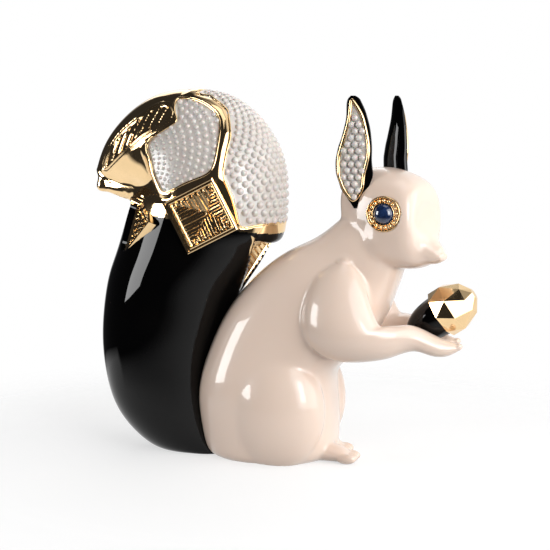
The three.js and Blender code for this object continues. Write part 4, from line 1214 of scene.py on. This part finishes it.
class FIGURINE_OT_eyes(bpy.types.Operator):
    """Makes the eyes: domed cabochons in beaded gilt settings"""
    bl_idname = "figurine.eyes"
    bl_label = "Eyes"

    def execute(self, context):
        angle = np.arange(EYE_BEADS) * 2 * np.pi / EYE_BEADS
        places = np.stack([EYE_BEAD_CIRCLE * np.cos(angle), EYE_BEAD_CIRCLE * np.sin(angle),
                           np.full(EYE_BEADS, EYE_BEAD_HEIGHT)], 1)
        beads = beads_mesh(places, np.tile([0, 0, 1.0], (EYE_BEADS, 1)),
                           np.full(EYE_BEADS, EYE_BEAD_RADIUS), 1.0, 8, 14)
        bezel, bezel_faces = gather([lathe(EYE_RING, TURNED_SIDES), beads])
        dome = [(CABOCHON_RADIUS * math.cos(a), CABOCHON_EDGE + CABOCHON_RISE * math.sin(a))
                for a in np.linspace(0.05, math.pi / 2 - 0.02, 24)]
        stone, stone_faces = lathe([(CABOCHON_RADIUS, -3), (CABOCHON_RADIUS, CABOCHON_EDGE)] + dome,
                                   TURNED_SIDES)
        for side, hand in SIDES:
            middle, outwards = eye_seat(side, hand)
            axes = np.array(Vector((0, 0, 1)).rotation_difference(Vector(outwards)).to_matrix())
            add_piece(f"eye_bezel_{side}_gilt", bezel @ axes.T + middle, bezel_faces, "gold_lustre",
                      [f"eye_bezel_{side}"])
            add_piece(f"eye_cabochon_{side}_blue", stone @ axes.T + middle, stone_faces, "blue_cabochon",
                      [f"eye_cabochon_{side}"])
        return {"FINISHED"}


# Acorn: radius and height of the nut's foot, its widest part, and height and radius of the cap's rings

NUT_FOOT = [(0.3, -30.2), (1.4, -29.8), (2.6, -28.6)]
NUT_RADIUS, NUT_DEPTH, NUT_TOP = 15, 27.4, 3.0
CAP_FACETS = 8
CAP_RINGS = [(0.0, 16.5), (0.0, 17.6), (11.5, 19.0), (23.5, 12.3), (29.0, 4.2)]


class FIGURINE_OT_acorn(bpy.types.Operator):
    """Makes the acorn: a smooth black nut in a faceted gilt cap"""
    bl_idname = "figurine.acorn"
    bl_label = "Acorn"

    def execute(self, context):
        axes = np.array(Matrix.Rotation(ACORN_LEAN, 3, "Y"))
        side = [(NUT_RADIUS * math.sin(a)**0.85, -NUT_DEPTH * math.cos(a))
                for a in np.linspace(0.22, math.pi / 2, 26)]
        points, faces = lathe([*NUT_FOOT, *side, (NUT_RADIUS, NUT_TOP)], TURNED_SIDES)
        add_piece("acorn_nut_glazed", points @ axes.T + ACORN, faces, "black_glaze", ["acorn_nut"])
        points = []
        for ring, (height, radius) in enumerate(CAP_RINGS):
            for k in range(CAP_FACETS):
                angle = 2 * math.pi * (k - max(ring - 1, 0) / 2) / CAP_FACETS
                points.append([radius * math.cos(angle), radius * math.sin(angle), height])
        lip, *facets = np.split(np.array(band_faces(len(CAP_RINGS), CAP_FACETS)), len(CAP_RINGS) - 1)
        faces = lip.tolist()
        for a, b, c, d in np.vstack(facets).tolist():
            faces += [[a, b, c], [a, c, d]]
        faces += end_faces(len(CAP_RINGS), CAP_FACETS)
        add_piece("acorn_cap_gilt", np.array(points) @ axes.T + ACORN, faces, "gold_lustre",
                  ["acorn_cap"], smooth=False)
        return {"FINISHED"}


# Stage

# Each softbox: where it hangs, what it points at, its width, its height and its power
SOFTBOXES = {
    "softbox_left": ((-1.02, -0.64, 0.30), (-0.08, -0.04, 0.16), 0.42, 0.5, 7.0),
    "softbox_right": ((0.92, -0.82, 0.42), (0.06, -0.03, 0.14), 0.3, 0.6, 4.0),
    "softbox_wide": ((1.05, -0.45, 0.5), (0.06, -0.03, 0.12), 1.6, 1.2, 18.0),
    "softbox_top": ((0.25, -0.1, 1.35), (0.03, 0, 0.1), 0.9, 0.7, 2.5),
    "softbox_back": ((-0.5, 1.1, 0.9), (0, 0, 0.1), 0.8, 0.6, 2),
}
FLOOR_HALF = 1.5
CAMERA_TARGET = Vector((-0.0037, 0, 0.136))
CAMERA_YAW, CAMERA_LIFT, CAMERA_AWAY = math.radians(18), math.radians(7), 1.1


def softbox(name, place, target, width, height, power):
    light = bpy.data.lights.new(name, "AREA")
    light.shape = "RECTANGLE"
    light.size, light.size_y = width, height
    light.energy = power
    lamp = bpy.data.objects.new(name, light)
    lamp.location = place
    lamp.rotation_euler = (Vector(target) - Vector(place)).to_track_quat("-Z", "Y").to_euler()
    bpy.context.scene.collection.objects.link(lamp)


def studio_world():
    """White behind the figurine. The glazes mirror a dark room with a pale side, table and ceiling."""
    world = bpy.data.worlds.new("studio")
    world.use_nodes = True
    tree = world.node_tree
    tree.nodes.clear()
    way = node(tree, "ShaderNodeTexCoord").outputs["Generated"]
    parts = node(tree, "ShaderNodeSeparateXYZ", {"Vector": way})

    def part(axis, low, high, most):
        scale = node(tree, "ShaderNodeMapRange", {"Value": parts.outputs[axis]},
                     {"From Min": low, "From Max": high, "To Max": most})
        return scale.outputs["Result"]

    facing = node(tree, "ShaderNodeVectorMath", {0: way}, {1: (0.5, 0.866, 0)}, "DOT_PRODUCT")
    side = node(tree, "ShaderNodeMapRange", {"Value": facing.outputs["Value"]}, {"From Min": -1})
    table = joined(tree, "MULTIPLY", part("Z", -0.05, -0.3, 1.0), part("Y", -0.6, -0.2, 1.0))
    lit = joined(tree, "MAXIMUM", side.outputs["Result"], table)
    lit = joined(tree, "MAXIMUM", lit, part("Z", 0.5, 1.0, 0.72))
    shade = node(tree, "ShaderNodeValToRGB", {"Fac": lit})
    dark, pale = shade.color_ramp.elements
    dark.position, dark.color = 0.62, (0.03, 0.03, 0.032, 1)
    pale.position, pale.color = 0.85, (1, 1, 1, 1)
    room = node(tree, "ShaderNodeBackground", {"Color": shade.outputs["Color"]})
    backdrop = node(tree, "ShaderNodeBackground", values={"Color": (1, 1, 1, 1)})
    rays = node(tree, "ShaderNodeLightPath")
    mix = node(tree, "ShaderNodeMixShader",
               {"Fac": rays.outputs["Is Camera Ray"], 1: room.outputs[0], 2: backdrop.outputs[0]})
    node(tree, "ShaderNodeOutputWorld", {"Surface": mix.outputs[0]})
    return world


class FIGURINE_OT_stage(bpy.types.Operator):
    """Makes the floor, the lights, the world and the camera"""
    bl_idname = "figurine.stage"
    bl_label = "Stage"

    def execute(self, context):
        scene = context.scene
        scene.view_settings.view_transform = "Standard"
        mesh = bpy.data.meshes.new("floor")
        corners = [(FLOOR_HALF * x, FLOOR_HALF * y, 0) for x, y in ((-1, -1), (1, -1), (1, 1), (-1, 1))]
        mesh.from_pydata(corners, [], [(0, 1, 2, 3)])
        floor = bpy.data.objects.new("floor", mesh)
        scene.collection.objects.link(floor)
        mesh.materials.append(floor_white())
        for name, box in SOFTBOXES.items():
            softbox(name, *box)
        scene.world = studio_world()

        camera = bpy.data.cameras.new("camera")
        camera.lens = 96
        camera.sensor_width = 36
        eye = bpy.data.objects.new("camera", camera)
        away = Vector((math.sin(CAMERA_YAW) * math.cos(CAMERA_LIFT),
                       -math.cos(CAMERA_YAW) * math.cos(CAMERA_LIFT), math.sin(CAMERA_LIFT)))
        eye.location = CAMERA_TARGET + away * CAMERA_AWAY
        eye.rotation_euler = (-away).to_track_quat("-Z", "Y").to_euler()
        scene.collection.objects.link(eye)
        scene.camera = eye
        return {"FINISHED"}


class FIGURINE_PT_panel(bpy.types.Panel):
    """Lists the figurine's pieces"""
    bl_idname = "FIGURINE_PT_panel"
    bl_label = "Figurine"
    bl_space_type = "VIEW_3D"
    bl_region_type = "UI"
    bl_category = "Figurine"

    def draw(self, context):
        for name in FigurineSettings.__annotations__:
            self.layout.prop(context.scene.figurine, name)
        for operator in OPERATORS:
            self.layout.operator(operator.bl_idname)


OPERATORS = (FIGURINE_OT_body, FIGURINE_OT_tail, FIGURINE_OT_beads, FIGURINE_OT_rims, FIGURINE_OT_plaques,
             FIGURINE_OT_ears, FIGURINE_OT_eyes, FIGURINE_OT_acorn, FIGURINE_OT_stage)
CLASSES = (FigurineSettings, *OPERATORS, FIGURINE_PT_panel)


def register():
    for one in CLASSES:
        bpy.utils.register_class(one)
    bpy.types.Scene.figurine = PointerProperty(type=FigurineSettings)


def unregister():
    del bpy.types.Scene.figurine
    for one in reversed(CLASSES):
        bpy.utils.unregister_class(one)


def main():
    register()
    bpy.ops.figurine.body()
    bpy.ops.figurine.tail()
    bpy.ops.figurine.beads()
    bpy.ops.figurine.rims()
    bpy.ops.figurine.plaques()
    bpy.ops.figurine.ears()
    bpy.ops.figurine.eyes()
    bpy.ops.figurine.acorn()
    bpy.ops.figurine.stage()


if __name__ == "__main__":
    main()
